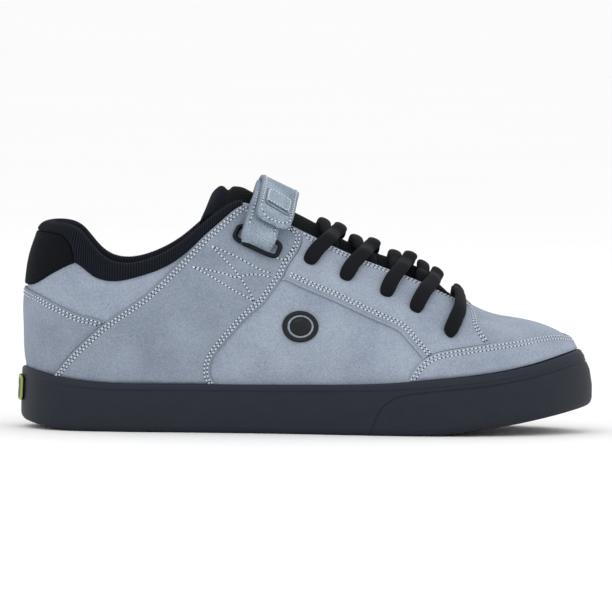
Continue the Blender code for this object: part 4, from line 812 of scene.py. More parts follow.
def cover(name, loop, top, paint, replaces, holes=(), troughs=(), under=(), pitch=1.25 * MM):
    """A layer over the upper inside a loop of (around, up), with its cut edges rounded down and darkened with
    painted shade.

    Along the `under` lines it runs in below its neighbour and keeps a flat edge.
    """
    loop = loop if signed_area(loop) > 0 else loop[::-1]
    loop = even(np.vstack([loop, loop[:1]]), EDGE_PITCH)[:-1]
    borders = [loop] + [ring[::-1] for ring in holes]
    scale = np.array([1.0, 0.25])
    rim = np.concatenate([border[:, 1] < 0.003 for border in borders])
    edge_places = surface(*np.vstack(borders).T)[0]
    laps = [surface(*even(line, 0.5 * MM).T)[0] for line in under]
    for lap in laps:
        rim |= nearest(edge_places, lap)[0] < LAP_REACH
    free_edge = edge_places[~rim]

    kept = [np.vstack(borders)]

    def keep(spots_tried, gap_to_edge, gap_to_kept=0.0):
        """Take the places in the loop that stay clear of its edge and of those already taken."""
        within = inside(loop, spots_tried)
        for hole in borders[1:]:
            within &= ~inside(hole, spots_tried)
        tried = spots_tried[within]
        if not len(tried):
            return
        places = surface(*tried.T)[0]
        clear = nearest(places, edge_places)[0] > gap_to_edge
        if gap_to_kept:
            clear &= nearest(places, surface(*np.vstack(kept).T)[0])[0] > gap_to_kept
        kept.append(tried[clear])

    for step, _ in EDGE_STEPS[1:]:
        for border in borders:
            keep(moved_left(border, step * MM, closed=True), step * MM * 0.85)
    for trough in troughs:
        if trough.width < 0.6 * MM:
            for side in (-1.6, -0.8, 0, 0.8, 1.6):
                keep(moved_left(even(trough.line, 0.8 * MM), side * trough.width), 0.9 * MM, 0.2 * MM)
    run, rise = stretch(loop)
    steps = pitch / np.linalg.norm(run, axis=1).mean(), pitch / np.linalg.norm(rise, axis=1).mean()
    low, high = loop.min(0), loop.max(0)
    grid = np.stack(np.meshgrid(
        np.arange(low[0], high[0], steps[0]), np.arange(low[1], high[1], steps[1])), axis=-1)
    grid[1::2, :, 0] += steps[0] / 2
    keep(grid.reshape(-1, 2), 1.5 * MM, 0.55 * pitch)

    links, first = [], 0
    for border in borders:
        ring = list(range(first, first + len(border)))
        links += list(zip(ring, ring[1:] + ring[:1]))
        first += len(border)
    flat = np.vstack(kept) * scale
    found, _, faces = delaunay_2d_cdt([Vector(p) for p in flat], links, [], 0, 1e-7)[:3]
    spots_found = np.array([tuple(p) for p in found]) / scale
    faces = np.array([f for f in faces if len(f) == 3])
    middles = spots_found[faces].mean(1)
    within = inside(loop, middles)
    for hole in borders[1:]:
        within &= ~inside(hole, middles)
    faces = faces[within]
    used, faces = np.unique(faces, return_inverse=True)
    faces = faces.reshape(-1, 3)
    spots_found = spots_found[used]
    places = surface(*spots_found.T)[0]
    distance = nearest(places, free_edge)[0]
    distance[distance < 0.02 * MM] = 0
    height = top * edge_height(distance)
    for trough in troughs:
        gap = nearest(places, surface(*even(trough.line, 0.5 * MM).T)[0])[0]
        height -= trough.depth * np.exp(-((gap / trough.width) ** 2)) * np.clip(distance / MM, 0, 1)
    for lap in laps:
        height *= 1 - 0.5 * np.exp(-((nearest(places, lap)[0] / (1.5 * MM)) ** 2))
    above = dressed(*spots_found.T, height)[0]
    below = dressed(*spots_found.T, -LAYER_SUNK)[0]
    count = len(spots_found)
    solid = [tuple(f) for f in faces] + [tuple(f[::-1] + count) for f in faces]
    edges = {(f[k], f[(k + 1) % 3]) for f in faces.tolist() for k in range(3)}
    for a, b in edges:
        if (b, a) not in edges:
            solid.append((b, a, a + count, b + count))
    # Painted shade: darker near the free cut edges, fully dark on the underside, so the cut wall darkens
    # towards the body
    mark = np.concatenate([PAINTED_EDGE_SHADE * np.exp(-((distance / PAINTED_EDGE_SHADE_WIDTH) ** 2)), np.ones(count)])
    return shown(name, np.vstack([above, below]), solid, [paint], replaces, marks={"edge": mark})


def spot_ring(spot, radius, count=14):
    """A closed ring of (around, up) about a spot on the surface."""
    run, rise = stretch(np.array([spot]))
    across = unit(rise - run * (run * rise).sum() / (run * run).sum())
    turns = np.arange(count) / count * 2 * np.pi
    offsets = radius * (np.cos(turns)[:, None] * unit(run) + np.sin(turns)[:, None] * across)
    frame_of = np.stack([run[0], rise[0]], axis=1)
    return np.array(spot) + np.linalg.lstsq(frame_of, offsets.T, rcond=None)[0].T


def rings_along(centres, wide, thick, profile):
    """A profile's ring at each place of a line."""
    return centres[:, None] + wide[:, None] * profile[None, :, :1] + thick[:, None] * profile[None, :, 1:]


def sweep(centres, wide, thick, profile):
    """Points and faces of a profile carried along a line, closed by a fan at each end."""
    rings = rings_along(centres, wide, thick, profile)
    count, size = rings.shape[:2]
    faces = grid_faces(count, size)
    points = np.vstack([rings.reshape(-1, 3), centres[:1], centres[-1:]])
    for j in range(size):
        faces.append((j, (j + 1) % size, count * size))
        faces.append(((count - 1) * size + (j + 1) % size, (count - 1) * size + j, count * size + 1))
    return points, faces


def round_profile(sides, square=1.0):
    """A round outline, or one that tends to a rectangle as `square` falls."""
    turns = np.arange(sides) / sides * 2 * np.pi
    ring = np.stack([np.cos(turns), np.sin(turns)], axis=1)
    return np.sign(ring) * np.abs(ring) ** square


def sweep_axes(centres, side, closed=False):
    """Directions across and through a band whose width keeps to `side`."""
    if closed:
        travel = np.roll(centres, -1, axis=0) - np.roll(centres, 1, axis=0)
    else:
        travel = np.gradient(centres, axis=0)
    travel = unit(travel)
    wide = unit(side - travel * (travel * side).sum(1, keepdims=True))
    return wide, np.cross(travel, wide)


# Stitching


STITCHES = []  # (place, heading, facing) of each stitch
STITCH_SINK = 0.22 * MM  # the thread pulls the leather down this far
STITCH_CLEAR = 1.05 * MM  # from a stitch to the edge of its layer


def sew(line, owner, out=PANEL_TOP - STITCH_SINK):
    """Lay stitches along a line of (around, up), kept clear of the edges of its owner's loop."""
    size = look()
    spaced = even(line, size.stitch_pitch)
    middles = (spaced[1:] + spaced[:-1]) / 2
    places, facing = dressed(*middles.T, out + size.thread_thickness * 0.3)
    heading = unit(np.diff(dressed(*spaced.T, out)[0], axis=0))
    border = even(np.vstack([owner, owner[:1]]), 0.8 * MM)
    border = border[border[:, 1] > 0.004]
    fits = inside(owner, middles)
    fits &= nearest(surface(*middles.T)[0], surface(*border.T)[0])[0] > STITCH_CLEAR
    STITCHES.extend(zip(places[fits], heading[fits], facing[fits]))


def stitch_tree(name, shape):
    """Geometry nodes that put one small bead of `shape` segments and rings on every marked point."""
    tree = bpy.data.node_groups.new(name, "GeometryNodeTree")
    tree.interface.new_socket("Geometry", in_out="INPUT", socket_type="NodeSocketGeometry")
    for label in ("Length", "Thickness"):
        tree.interface.new_socket(label, in_out="INPUT", socket_type="NodeSocketFloat")
    tree.interface.new_socket("Finish", in_out="INPUT", socket_type="NodeSocketMaterial")
    tree.interface.new_socket("Geometry", in_out="OUTPUT", socket_type="NodeSocketGeometry")
    start = add(tree, "NodeGroupInput")
    bead = add(tree, "GeometryNodeMeshUVSphere", {"Segments": shape[0], "Rings": shape[1], "Radius": 0.5})
    size = add(tree, "ShaderNodeCombineXYZ", {
        "X": start.outputs["Length"], "Y": start.outputs["Thickness"], "Z": start.outputs["Thickness"]})
    scaled = add(tree, "GeometryNodeTransform", {"Geometry": bead.outputs["Mesh"], "Scale": size.outputs[0]})
    turned = None
    for axis, mark, pivot in (("X", "heading", "AUTO"), ("Z", "facing", "X")):
        vector = add(tree, "GeometryNodeInputNamedAttribute", {"Name": mark}, data_type="FLOAT_VECTOR")
        turn = add(tree, "FunctionNodeAlignRotationToVector", {"Vector": vector.outputs["Attribute"]},
                   axis=axis, pivot_axis=pivot)
        if turned:
            tree.links.new(turned, turn.inputs["Rotation"])
        turned = turn.outputs["Rotation"]
    spots_on = add(tree, "GeometryNodeInstanceOnPoints", {
        "Points": start.outputs["Geometry"], "Instance": scaled.outputs["Geometry"], "Rotation": turned})
    real = add(tree, "GeometryNodeRealizeInstances", {"Geometry": spots_on.outputs["Instances"]})
    soft = add(tree, "GeometryNodeSetShadeSmooth", {"Geometry": real.outputs["Geometry"]})
    paint = add(tree, "GeometryNodeSetMaterial", {
        "Geometry": soft.outputs["Geometry"], "Material": start.outputs["Finish"]})
    add(tree, "NodeGroupOutput", {0: paint.outputs["Geometry"]})
    return tree


def scatter(name, points, headings, facings, length, thickness, finish, shape=(8, 5)):
    """Small shapes on points, made by geometry nodes and turned into a plain mesh."""
    cloud = bpy.data.meshes.new(name + "_points")
    cloud.from_pydata(np.asarray(points).tolist(), [], [])
    for mark, values in (("heading", headings), ("facing", facings)):
        layer = cloud.attributes.new(mark, "FLOAT_VECTOR", "POINT")
        layer.data.foreach_set("vector", np.asarray(values, np.float32).ravel())
    holder = bpy.data.objects.new(name + "_points", cloud)
    bpy.context.scene.collection.objects.link(holder)
    tree = stitch_tree(name + "_nodes", shape)
    step = holder.modifiers.new("scatter", "NODES")
    step.node_group = tree
    named = {item.name: item.identifier for item in tree.interface.items_tree if item.in_out == "INPUT"}
    step[named["Length"]] = float(length)
    step[named["Thickness"]] = float(thickness)
    step[named["Finish"]] = PAINT[finish]
    seen = holder.evaluated_get(bpy.context.evaluated_depsgraph_get())
    mesh = bpy.data.meshes.new_from_object(seen)
    mesh.name = name
    bpy.data.objects.remove(holder)
    return placed(name, mesh)


# Pieces over the last


SEAM_SLIT = 0.08 * MM  # between two layers that meet
RIM_TUCK = -0.012  # layers go this far below the rim of the sole
ROLLED_EDGE = 1.5 * MM  # bead along the eyestay's lower edge
HEEL_TAB_BELOW = 0.02
STITCH_INSET = (1.7 * MM, 3.3 * MM)
GUARD_INSET = (1.6 * MM, 3.4 * MM)


def outer_loops():
    """Loops of (around, up) for each layer on the outer side, and their seams."""
    half = SEAM_SLIT / 2
    loops = {}
    rear, front = seam(SADDLE_REAR, -half), seam(SADDLE_FRONT, half)
    rear[0, 1] = front[0, 1] = RIM_TUCK
    loops["saddle"] = np.vstack([rear, front[::-1]])
    saddle_side = seam(SADDLE_FRONT, -half)
    lower = seam(EYESTAY_LOWER, half - ROLLED_EDGE)
    toe_end, guard_side = seam(EYESTAY_FRONT, -half), seam(GUARD_TOP, half)
    start = nearest_end(saddle_side, lower[0])
    first, last = nearest_end(guard_side, lower[-1]), nearest_end(guard_side, toe_end[-1])
    loops["eyestay"] = np.vstack([
        saddle_side[start:], toe_end[:-1], guard_side[first:last + 1][::-1], lower[1:-1][::-1]])
    guard = seam(GUARD_TOP, -half)
    guard[-1, 0] = 1.0
    guard[0, 1] = RIM_TUCK
    lower_rim = np.stack([np.linspace(2 - guard[0, 0], guard[0, 0], 60)[1:-1], np.full(58, RIM_TUCK)], axis=1)
    loops["guard"] = np.vstack([guard, mirrored(guard, 1.0)[1:], lower_rim])
    behind, counter = seam(SADDLE_REAR, half), seam(COUNTER_TOP, -half)
    counter[0, 0] = 0.0
    behind[0, 1] = RIM_TUCK
    joint = nearest_end(behind, counter[-1])
    lateral = np.vstack([behind[:joint + 1], counter[:-1][::-1]])
    loops["counter"] = np.vstack([lateral, mirrored(lateral, 0.0)[1:]])
    under, side = seam(TAB_LOWER, half), seam(TAB_FRONT, half)
    under[0, 0] = 0.0
    lateral = np.vstack([under[:-1], side])
    lateral[-1, 1] = 1.0 - HEEL_TAB_BELOW
    lateral = np.vstack([lateral, [0.0, lateral[-1, 1]]])
    loops["tab"] = np.vstack([mirrored(lateral, 0.0)[1:], lateral[:-1]])
    return loops


def nearest_end(line, spot):
    """Number of the line's point that is nearest a spot."""
    return int(np.hypot(*(line - spot).T).argmin())


def inset_rows(table, sign, insets=STITCH_INSET):
    """The two stitch rows inside a seam."""
    return [seam(table, sign * inset) for inset in insets]


def topline_rows(start, end, count):
    """The two stitch rows below the topline from one place `around` to another."""
    line = np.stack([np.linspace(start, end, count), np.ones(count)], axis=1) * [1, 0.999]
    return [moved_left(line, -inset) for inset in STITCH_INSET]


def row_troughs(rows):
    """The dents that stitch rows pull in the leather."""
    return [Trough(row, STITCH_SINK, 0.75 * MM) for row in rows]


def make_upper():
    """The suede body and its black lining, as one closed shell."""
    around = np.arange(520) / 520 * 2
    around = around - 0.045 * np.sin(2 * np.pi * around)
    ups = np.concatenate([
        np.linspace(-1, -0.02, 5)[:-1], np.linspace(-0.02, 0.97, 62), [0.985],
        np.linspace(1.0, ROLLED, 13), np.linspace(ROLLED, ROLLED + 1, 26)[1:],
        np.linspace(ROLLED + 1, ROLLED + 2, 4)[1:]])
    place = dressed(*np.meshgrid(around, ups))[0]
    faces = grid_faces(len(ups), len(around), wrap_rows=True)
    under, front = seam(TAB_LOWER), seam(CUFF_LOWER)
    seams = np.vstack([[0.0, under[0, 1]], under[1:], front[1:]])
    folded = np.minimum(around, 2 - around)
    low = np.where(folded < seams[-1, 0], np.interp(folded, seams[:, 0], seams[:, 1]), 1.04)
    lining = (ups[:-1, None] > low[None, :] + 0.012).astype(int)
    lining = np.vstack([lining, np.ones_like(lining[:1])]).ravel()
    shown("upper_body", place.reshape(-1, 3), faces, ["suede", "lining"], ["upper"],
          face_paint=lining, marks={"edge": np.zeros(len(lining))})


def make_overlays():
    """Saddles, eyestays, toe guard, heel counter and heel tab, with their stitch rows."""
    loops = outer_loops()
    eyelet_spots = side_spots(EYELETS)
    saddle_front, saddle_top = seam(SADDLE_FRONT), loops["saddle"][len(seam(SADDLE_REAR)) - 1, 0]
    saddle_rows = inset_rows(SADDLE_REAR, -1) + inset_rows(SADDLE_FRONT, 1)
    saddle_rows += [smooth_line(side_spots(line), 4) for line in (*SADDLE_LINES, STRAP_ANCHOR_ROW)]
    saddle_rows += topline_rows(saddle_top, saddle_front[-1, 0], 30)
    eyestay_rows = inset_rows(EYESTAY_LOWER, 1) + inset_rows(EYESTAY_FRONT, -1)
    eyestay_rows += topline_rows(saddle_front[-1, 0], seam(EYESTAY_FRONT)[0, 0], 60)
    bead = Trough(seam(EYESTAY_LOWER, SEAM_GAP / 2), 0.85 * MM, 0.35 * MM)
    for side in ("lateral", "medial"):
        flip = (lambda line: line) if side == "lateral" else (lambda line: mirrored(line, 1.0))
        rows = [flip(row) for row in saddle_rows]
        cover(f"saddle_{side}_suede", flip(loops["saddle"]), PANEL_TOP, "deep", [f"saddle_{side}"],
              troughs=row_troughs(rows))
        for row in rows:
            sew(row, flip(loops["saddle"]))
        rows = [flip(row) for row in eyestay_rows]
        eyelets = [spot if side == "lateral" else np.array([2 - spot[0], spot[1]]) for spot in eyelet_spots]
        cover(f"eyestay_{side}_suede", flip(loops["eyestay"]), PANEL_TOP, "suede", [f"eyestay_{side}"],
              holes=[spot_ring(spot, 2 * MM) for spot in eyelets],
              troughs=row_troughs(rows) + [bead._replace(line=flip(bead.line))],
              under=[flip(saddle_front), flip(seam(GUARD_TOP))])
        for row in rows:
            sew(row, flip(loops["eyestay"]))
    guard_rows = inset_rows(GUARD_TOP, -1, GUARD_INSET)
    for row in guard_rows:
        row[-1, 0] = 1.0
    guard_rows = [np.vstack([row, mirrored(row, 1.0)[1:]]) for row in guard_rows]
    cover("toe_guard_suede", loops["guard"], GUARD_TOP_OUT, "suede", ["toe_guard"],
          troughs=row_troughs(guard_rows))
    for row in guard_rows:
        sew(row, loops["guard"], GUARD_TOP_OUT - STITCH_SINK)
    counter_rows = inset_rows(COUNTER_TOP, -1)
    for row in counter_rows:
        row[0, 0] = 0.0
    counter_rows = [np.vstack([mirrored(row, 0.0), row[1:]]) for row in counter_rows]
    cover("heel_counter_suede", loops["counter"], PANEL_TOP, "deep", ["heel_counter"],
          troughs=row_troughs(counter_rows), under=[seam(SADDLE_REAR), mirrored(seam(SADDLE_REAR), 0.0)])
    for row in counter_rows:
        sew(row, loops["counter"])
    cover("heel_tab_cloth", loops["tab"], PANEL_TOP, "tab", ["heel_tab"])


CUFF_END = ROLLED + 0.25  # where the cuff ends inside
CUFF_THICKNESS = 1.2 * MM
CUFF_PLUMP = 0.9 * MM
CUFF_RIB_DEPTH = 0.09 * MM
UP_IN_METRES = 0.075  # of wall to a unit of up, about
AROUND_IN_METRES = 0.32  # of collar to a unit of around, about


def make_collar():
    """Padded ribbed cuff over the topline, from its lower seam to the lining inside."""
    half = SEAM_SLIT / 2
    side = seam(TAB_FRONT, -half)
    side[-1, 1] = 1.0 - HEEL_TAB_BELOW + 0.01
    under, behind = seam(CUFF_LOWER, half), seam(SADDLE_REAR, half)
    joint = nearest_end(behind, under[-1])
    lower = np.vstack([[0.0, side[-1, 1]], side[::-1], under[1:-1], behind[joint:]])
    order = np.argsort(lower[:, 0], kind="stable")
    lower = lower[order]
    end = lower[-1, 0]
    around = np.linspace(-end, end, 560)
    low = np.interp(np.abs(around), lower[:, 0], lower[:, 1])
    shares = np.concatenate([[0, 0.004, 0.012, 0.03], np.linspace(0.06, 0.97, 40), [0.99, 1.0]])
    ups = low[None, :] + (CUFF_END - low)[None, :] * shares[:, None]
    spread = np.broadcast_to(around, ups.shape)
    outer = 1.0 - low
    part = np.clip((ups - low) / np.maximum(outer, 0.03), 0, 1)
    drop = edge_height(nearest_rows(ups, low, around))
    plump = CUFF_PLUMP * np.sin(np.pi * part) * smooth_step(outer / 0.1)
    ribs = CUFF_RIB_DEPTH * np.sin(collar_run(around) / look().rib_pitch * 2 * np.pi)
    out = SEAM_GAP + drop * (CUFF_THICKNESS + plump + ribs[None, :])
    top = dressed(spread, ups, out)[0]
    base = dressed(spread, ups, np.full(ups.shape, -0.1 * MM))[0]
    rows, columns = ups.shape
    faces = grid_faces(rows, columns, wrap_columns=False)
    faces += [f[::-1] for f in grid_faces(rows, columns, wrap_columns=False, first=rows * columns)]
    border = list(range(columns)) + [i * columns + columns - 1 for i in range(1, rows)]
    border += list(range(rows * columns - 2, (rows - 1) * columns - 1, -1))
    border += [i * columns for i in range(rows - 2, 0, -1)]
    for a, b in zip(border, border[1:] + border[:1]):
        faces.append((b, a, a + rows * columns, b + rows * columns))
    points = np.vstack([top.reshape(-1, 3), base.reshape(-1, 3)])
    run = np.broadcast_to(collar_run(around) / MM, ups.shape)
    over = np.stack([run, ups * 90], axis=-1).reshape(-1, 2)
    cuff = shown("collar_cuff_knit", points, faces, ["knit"], ["collar_cuff"],
                 over=np.vstack([over, over]))


def nearest_rows(ups, low, around):
    """Metres from each place of the cuff to its lower seam or its lower edge inside."""
    down = (ups - low[None, :]) * UP_IN_METRES
    inner = (CUFF_END - ups) * UP_IN_METRES
    ends = (np.abs(around).max() - np.abs(around))[None, :] * AROUND_IN_METRES
    return np.minimum(np.minimum(down, inner), ends + 0 * ups)


def collar_run(around):
    """Metres along the collar from the heel."""
    return run_of(surface(around, np.ones_like(around))[0])


# Tongue


TongueStation = namedtuple("TongueStation", "along crown half_width wing drop thickness")
TONGUE = tuple(TongueStation(*row) for row in (
    (0.834, 0.472, 0.3, 1.3, 0.34, 3.6),
    (0.8, 0.494, 0.34, 1.3, 0.4, 3.8),
    (0.776, 0.512, 0.27, 1.3, 0.36, 4.0),
    (0.762, 0.552, 0.27, 1.3, 0.55, 4.4),
    (0.74, 0.622, 0.31, 1.3, 0.9, 5.0),
    (0.693, 0.714, 0.38, 1.3, 1.0, 5.0),
    (0.632, 0.765, 0.42, 1.3, 1.0, 5.0),
    (0.569, 0.827, 0.44, 1.28, 1.0, 5.0),
    (0.508, 0.908, 0.45, 1.24, 1.0, 5.0),
    (0.455, 0.976, 0.46, 1.18, 1.0, 5.4),
    (0.402, 1.037, 0.47, 1.1, 1.05, 6.0),
    (0.372, 1.058, 0.48, 1.06, 1.05, 7.0),
    (0.352, 1.058, 0.48, 1.04, 1.0, 7.8),
    (0.341, 1.054, 0.48, 1.03, 1.0, 8.5),
    (0.331, 1.03, 0.475, 1.03, 0.97, 8.0),
    (0.3245, 0.99, 0.46, 1.02, 0.95, 5.0),
))
TONGUE_DROP = 12.5 * MM
TONGUE_SWEEP = 5 * MM
Swell = namedtuple("Swell", "height along width")
TONGUE_DIP = Swell(-1.9 * MM, 0.3590, 0.0052)  # stitched down below the lip
TONGUE_LOBES = (Swell(0.7 * MM, 0.383, 0.014), Swell(0.5 * MM, 0.347, 0.007))
LIP_FROM = 0.3595  # the lip is lined behind this share of the length


def tongue_rows(parts):
    """x, crown, half width, drop, thickness, wing, sweep and share of the length at each station."""
    rows = smooth_line([tuple(row) for row in TONGUE], parts)
    return np.stack([
        x_of(rows[:, 0]), rows[:, 1] * INSTEP_HEIGHT, rows[:, 2] * THROAT_WIDTH,
        rows[:, 4] * TONGUE_DROP, rows[:, 5] * MM, rows[:, 3],
        TONGUE_SWEEP * np.clip((0.46 - rows[:, 0]) / 0.11, 0, 1), rows[:, 0]], axis=1)


def tongue_top(x, y):
    """Height of the tongue's outer face."""
    rows = tongue_rows(1)[:-1][::-1]
    crown, half, drop = (np.interp(x, rows[:, 0], rows[:, k]) for k in (1, 2, 3))
    return crown - drop * np.abs(np.asarray(y) / half) ** 2


def make_tongue():
    """Padded tongue: meshed front, a stitched dip near its top and a smooth rolled lip."""
    rows = tongue_rows(9)
    shares = np.concatenate([[-2.0, -1.6, -1.25], np.linspace(-1.0, 1.0, 37), [1.25, 1.6, 2.0]])
    within = np.clip(np.abs(shares), 0, 1)
    beyond_share = np.clip(np.abs(shares) - 1, 0, 1)
    rings = []
    for x, crown, half, drop, thickness, wing, back, along in rows:
        beyond = (wing - 1) * half * beyond_share
        fall = drop * within**2 + 0.9 * beyond
        thin = thickness * (1 - 0.45 * within**3) * (1 - 0.25 * beyond_share)
        y = np.sign(shares) * (half * within + beyond)
        swell = sum(s.height * np.exp(-(((along - s.along) / s.width) ** 2))
                    for s in (TONGUE_DIP, *TONGUE_LOBES))
        soft = 0.35 * MM * np.sin(y * 260 + along * 40) * smooth_step((0.76 - along) / 0.05)
        top = np.stack([x - back * within**2, y, crown - fall + swell + soft], axis=1)
        under = np.stack([x - back * within**2, y - np.sign(shares) * 0.55 * within**2 * thin,
                          crown - fall - thin], axis=1)
        rings.append(np.vstack([top, under[::-1]]))
    rings = np.array(rings)
    count, size = rings.shape[:2]
    faces = grid_faces(count, size)
    for first in (0, (count - 1) * size):
        for j in range(size // 2 - 1):
            faces.append((first + j, first + j + 1, first + size - 2 - j, first + size - 1 - j))
    lip = np.repeat((rows[:-1, 7] < LIP_FROM).astype(int), size)
    lip = np.concatenate([lip, [0] * (len(faces) - len(lip))])
    tongue = shown("tongue_padded", rings.reshape(-1, 3), faces, ["mesh", "lining"], ["tongue"],
                   face_paint=lip)


# Strap and rings


STRAP_WIDTH = 18 * MM
STRAP_THICKNESS = 2.6 * MM
STRAP_LEAN = np.radians(25)
STRAP_TOP = np.array([x_of(0.454), 0, 1.065 * INSTEP_HEIGHT])
STRAP_SHIFT = 4.5 * MM
STRAP_FLARE = 0.15  # how much wider the free layer is
CREST_SHIFT = 5.0 * MM  # the strap swings back towards the heel over the tongue
CREST_LIFT = 1.2 * MM
RING_WIRE = 2.5 * MM
RING_LENGTH = 26.5 * MM
RING_DEPTH = 11 * MM
RING_LIFT = {-1: 0.8 * MM, 1: 3.3 * MM}
ALONG_STRAP = np.array([np.cos(STRAP_LEAN), 0, -np.sin(STRAP_LEAN)])
ABOVE_STRAP = np.array([np.sin(STRAP_LEAN), 0, np.cos(STRAP_LEAN)])
RING_UP = side_spots([RING_AT])[0][1]
PATCH_START = 8.2 * MM  # from the strap's free end
PATCH_LENGTH = 17.0 * MM
PATCH_WIDTH = 14.6 * MM
STRAP_CORNER = 5.5 * MM  # rounding of the free end
STRAP_SEAM_INSET = 1.7 * MM
STRAP_SEAM_END = 60 * MM  # how far the free layer's side seams are seen
BAR_INSET = 0.8 * MM  # from the patch's rim


def strap_spot(up, side, out=0.0):
    """Place above the saddle that lies in the strap's middle plane."""
    tries = np.linspace(0.3, 0.62, 1201)
    place, facing = surface(tries if side < 0 else 2 - tries, np.full_like(tries, up))
    place = place + facing * out
    return place[np.abs((place - STRAP_TOP) @ ALONG_STRAP).argmin()]


def strap_over(across, below):
    """Place `below` the strap's crest and `across` from the shoe's middle."""
    return STRAP_TOP + np.array([0, across, 0]) - ABOVE_STRAP * below


def ring_frame(side):
    """Middle of the ring on the suede, and the directions along, above and out of its bars."""
    centre = strap_spot(RING_UP, side, PANEL_TOP)
    above = unit(strap_spot(RING_UP + 0.05, side, PANEL_TOP) - strap_spot(RING_UP - 0.05, side, PANEL_TOP))
    wide = unit(ALONG_STRAP - above * (ALONG_STRAP @ above))
    return centre, wide, above, np.cross(above, wide) * side


def by_ring(height, lift, side):
    """Place so many millimetres above the ring's middle and off the suede."""
    centre, _, above, facing = ring_frame(side)
    return centre + (above * height + facing * lift) * MM


def strap_line():
    """Dense centre line of the strap with its directions and its width share."""
    half = STRAP_THICKNESS / 2
    second = STRAP_THICKNESS + 2 * SEAM_GAP
    edge = PANEL_TOP + half + 1.6 * MM
    lower = [by_ring(*spot, -1) for spot in (
        (-4.6, 0.75), (-2.8, 1.3), (-0.2, 2.9), (1.8, 4.5), (4.4, 5.5), (9.0, 4.4))]
    lower += [
        strap_spot(1.0, -1, edge), strap_over(-12 * MM, 6.6 * MM), strap_over(0, second + half),
        strap_over(12 * MM, 6.6 * MM), strap_spot(1.0, 1, edge)]
    lower += [by_ring(*spot, 1) for spot in (
        (10.0, 2.6), (4.4, 2.0), (2.2, 2.85), (1.35, 4.9), (2.2, 6.95), (4.4, 7.8))]
    rows = [(place, 0.0) for place in lower] + [
        (by_ring(10.0, 7.0, 1), 0.1), (strap_spot(1.0, 1, edge + second), 0.3),
        (strap_over(11.5 * MM, 6.6 * MM - second), 0.5), (strap_over(0, half), 0.8),
        (strap_over(-11.5 * MM, 6.6 * MM - second), 0.9), (strap_spot(1.0, -1, edge + second), 1.0),
        (by_ring(13.5, 7.2, -1), 1.0), (by_ring(11.0, 7.6, -1), 1.0), (by_ring(9.2, 7.9, -1), 1.0),
    ]
    line = smooth_line([(*place, shift) for place, shift in rows], 10)
    ring_height, crest_height = by_ring(0, 0, -1)[2], STRAP_TOP[2]
    crest = np.clip((line[:, 2:3] - ring_height) / (crest_height - ring_height), 0, 1)
    upper_layer = smooth_step(line[:, 3:4] / 0.5)
    centres = line[:, :3] + ALONG_STRAP * (line[:, 3:4] * STRAP_SHIFT - crest * CREST_SHIFT)
    centres += ABOVE_STRAP * crest * CREST_LIFT
    run = run_of(centres)
    count = int(run[-1] / (0.7 * MM))
    at = np.linspace(0, run[-1], count)
    centres = resampled(at, run, centres)
    base = smooth_step((at - 3 * MM) / (7 * MM)) * smooth_step((30 * MM - at) / (8 * MM))
    broad = 0.86 + 0.14 * smooth_step(at / (5 * MM)) + 0.07 * base
    broad = broad + STRAP_FLARE * np.interp(at, run, upper_layer[:, 0])
    turned = np.clip(-centres[:, 1:2] / (12 * MM), -1, 1) * np.array([0, 0.32, 0])
    wide, thick = sweep_axes(centres, ALONG_STRAP + turned)
    return centres, wide, thick, at, broad


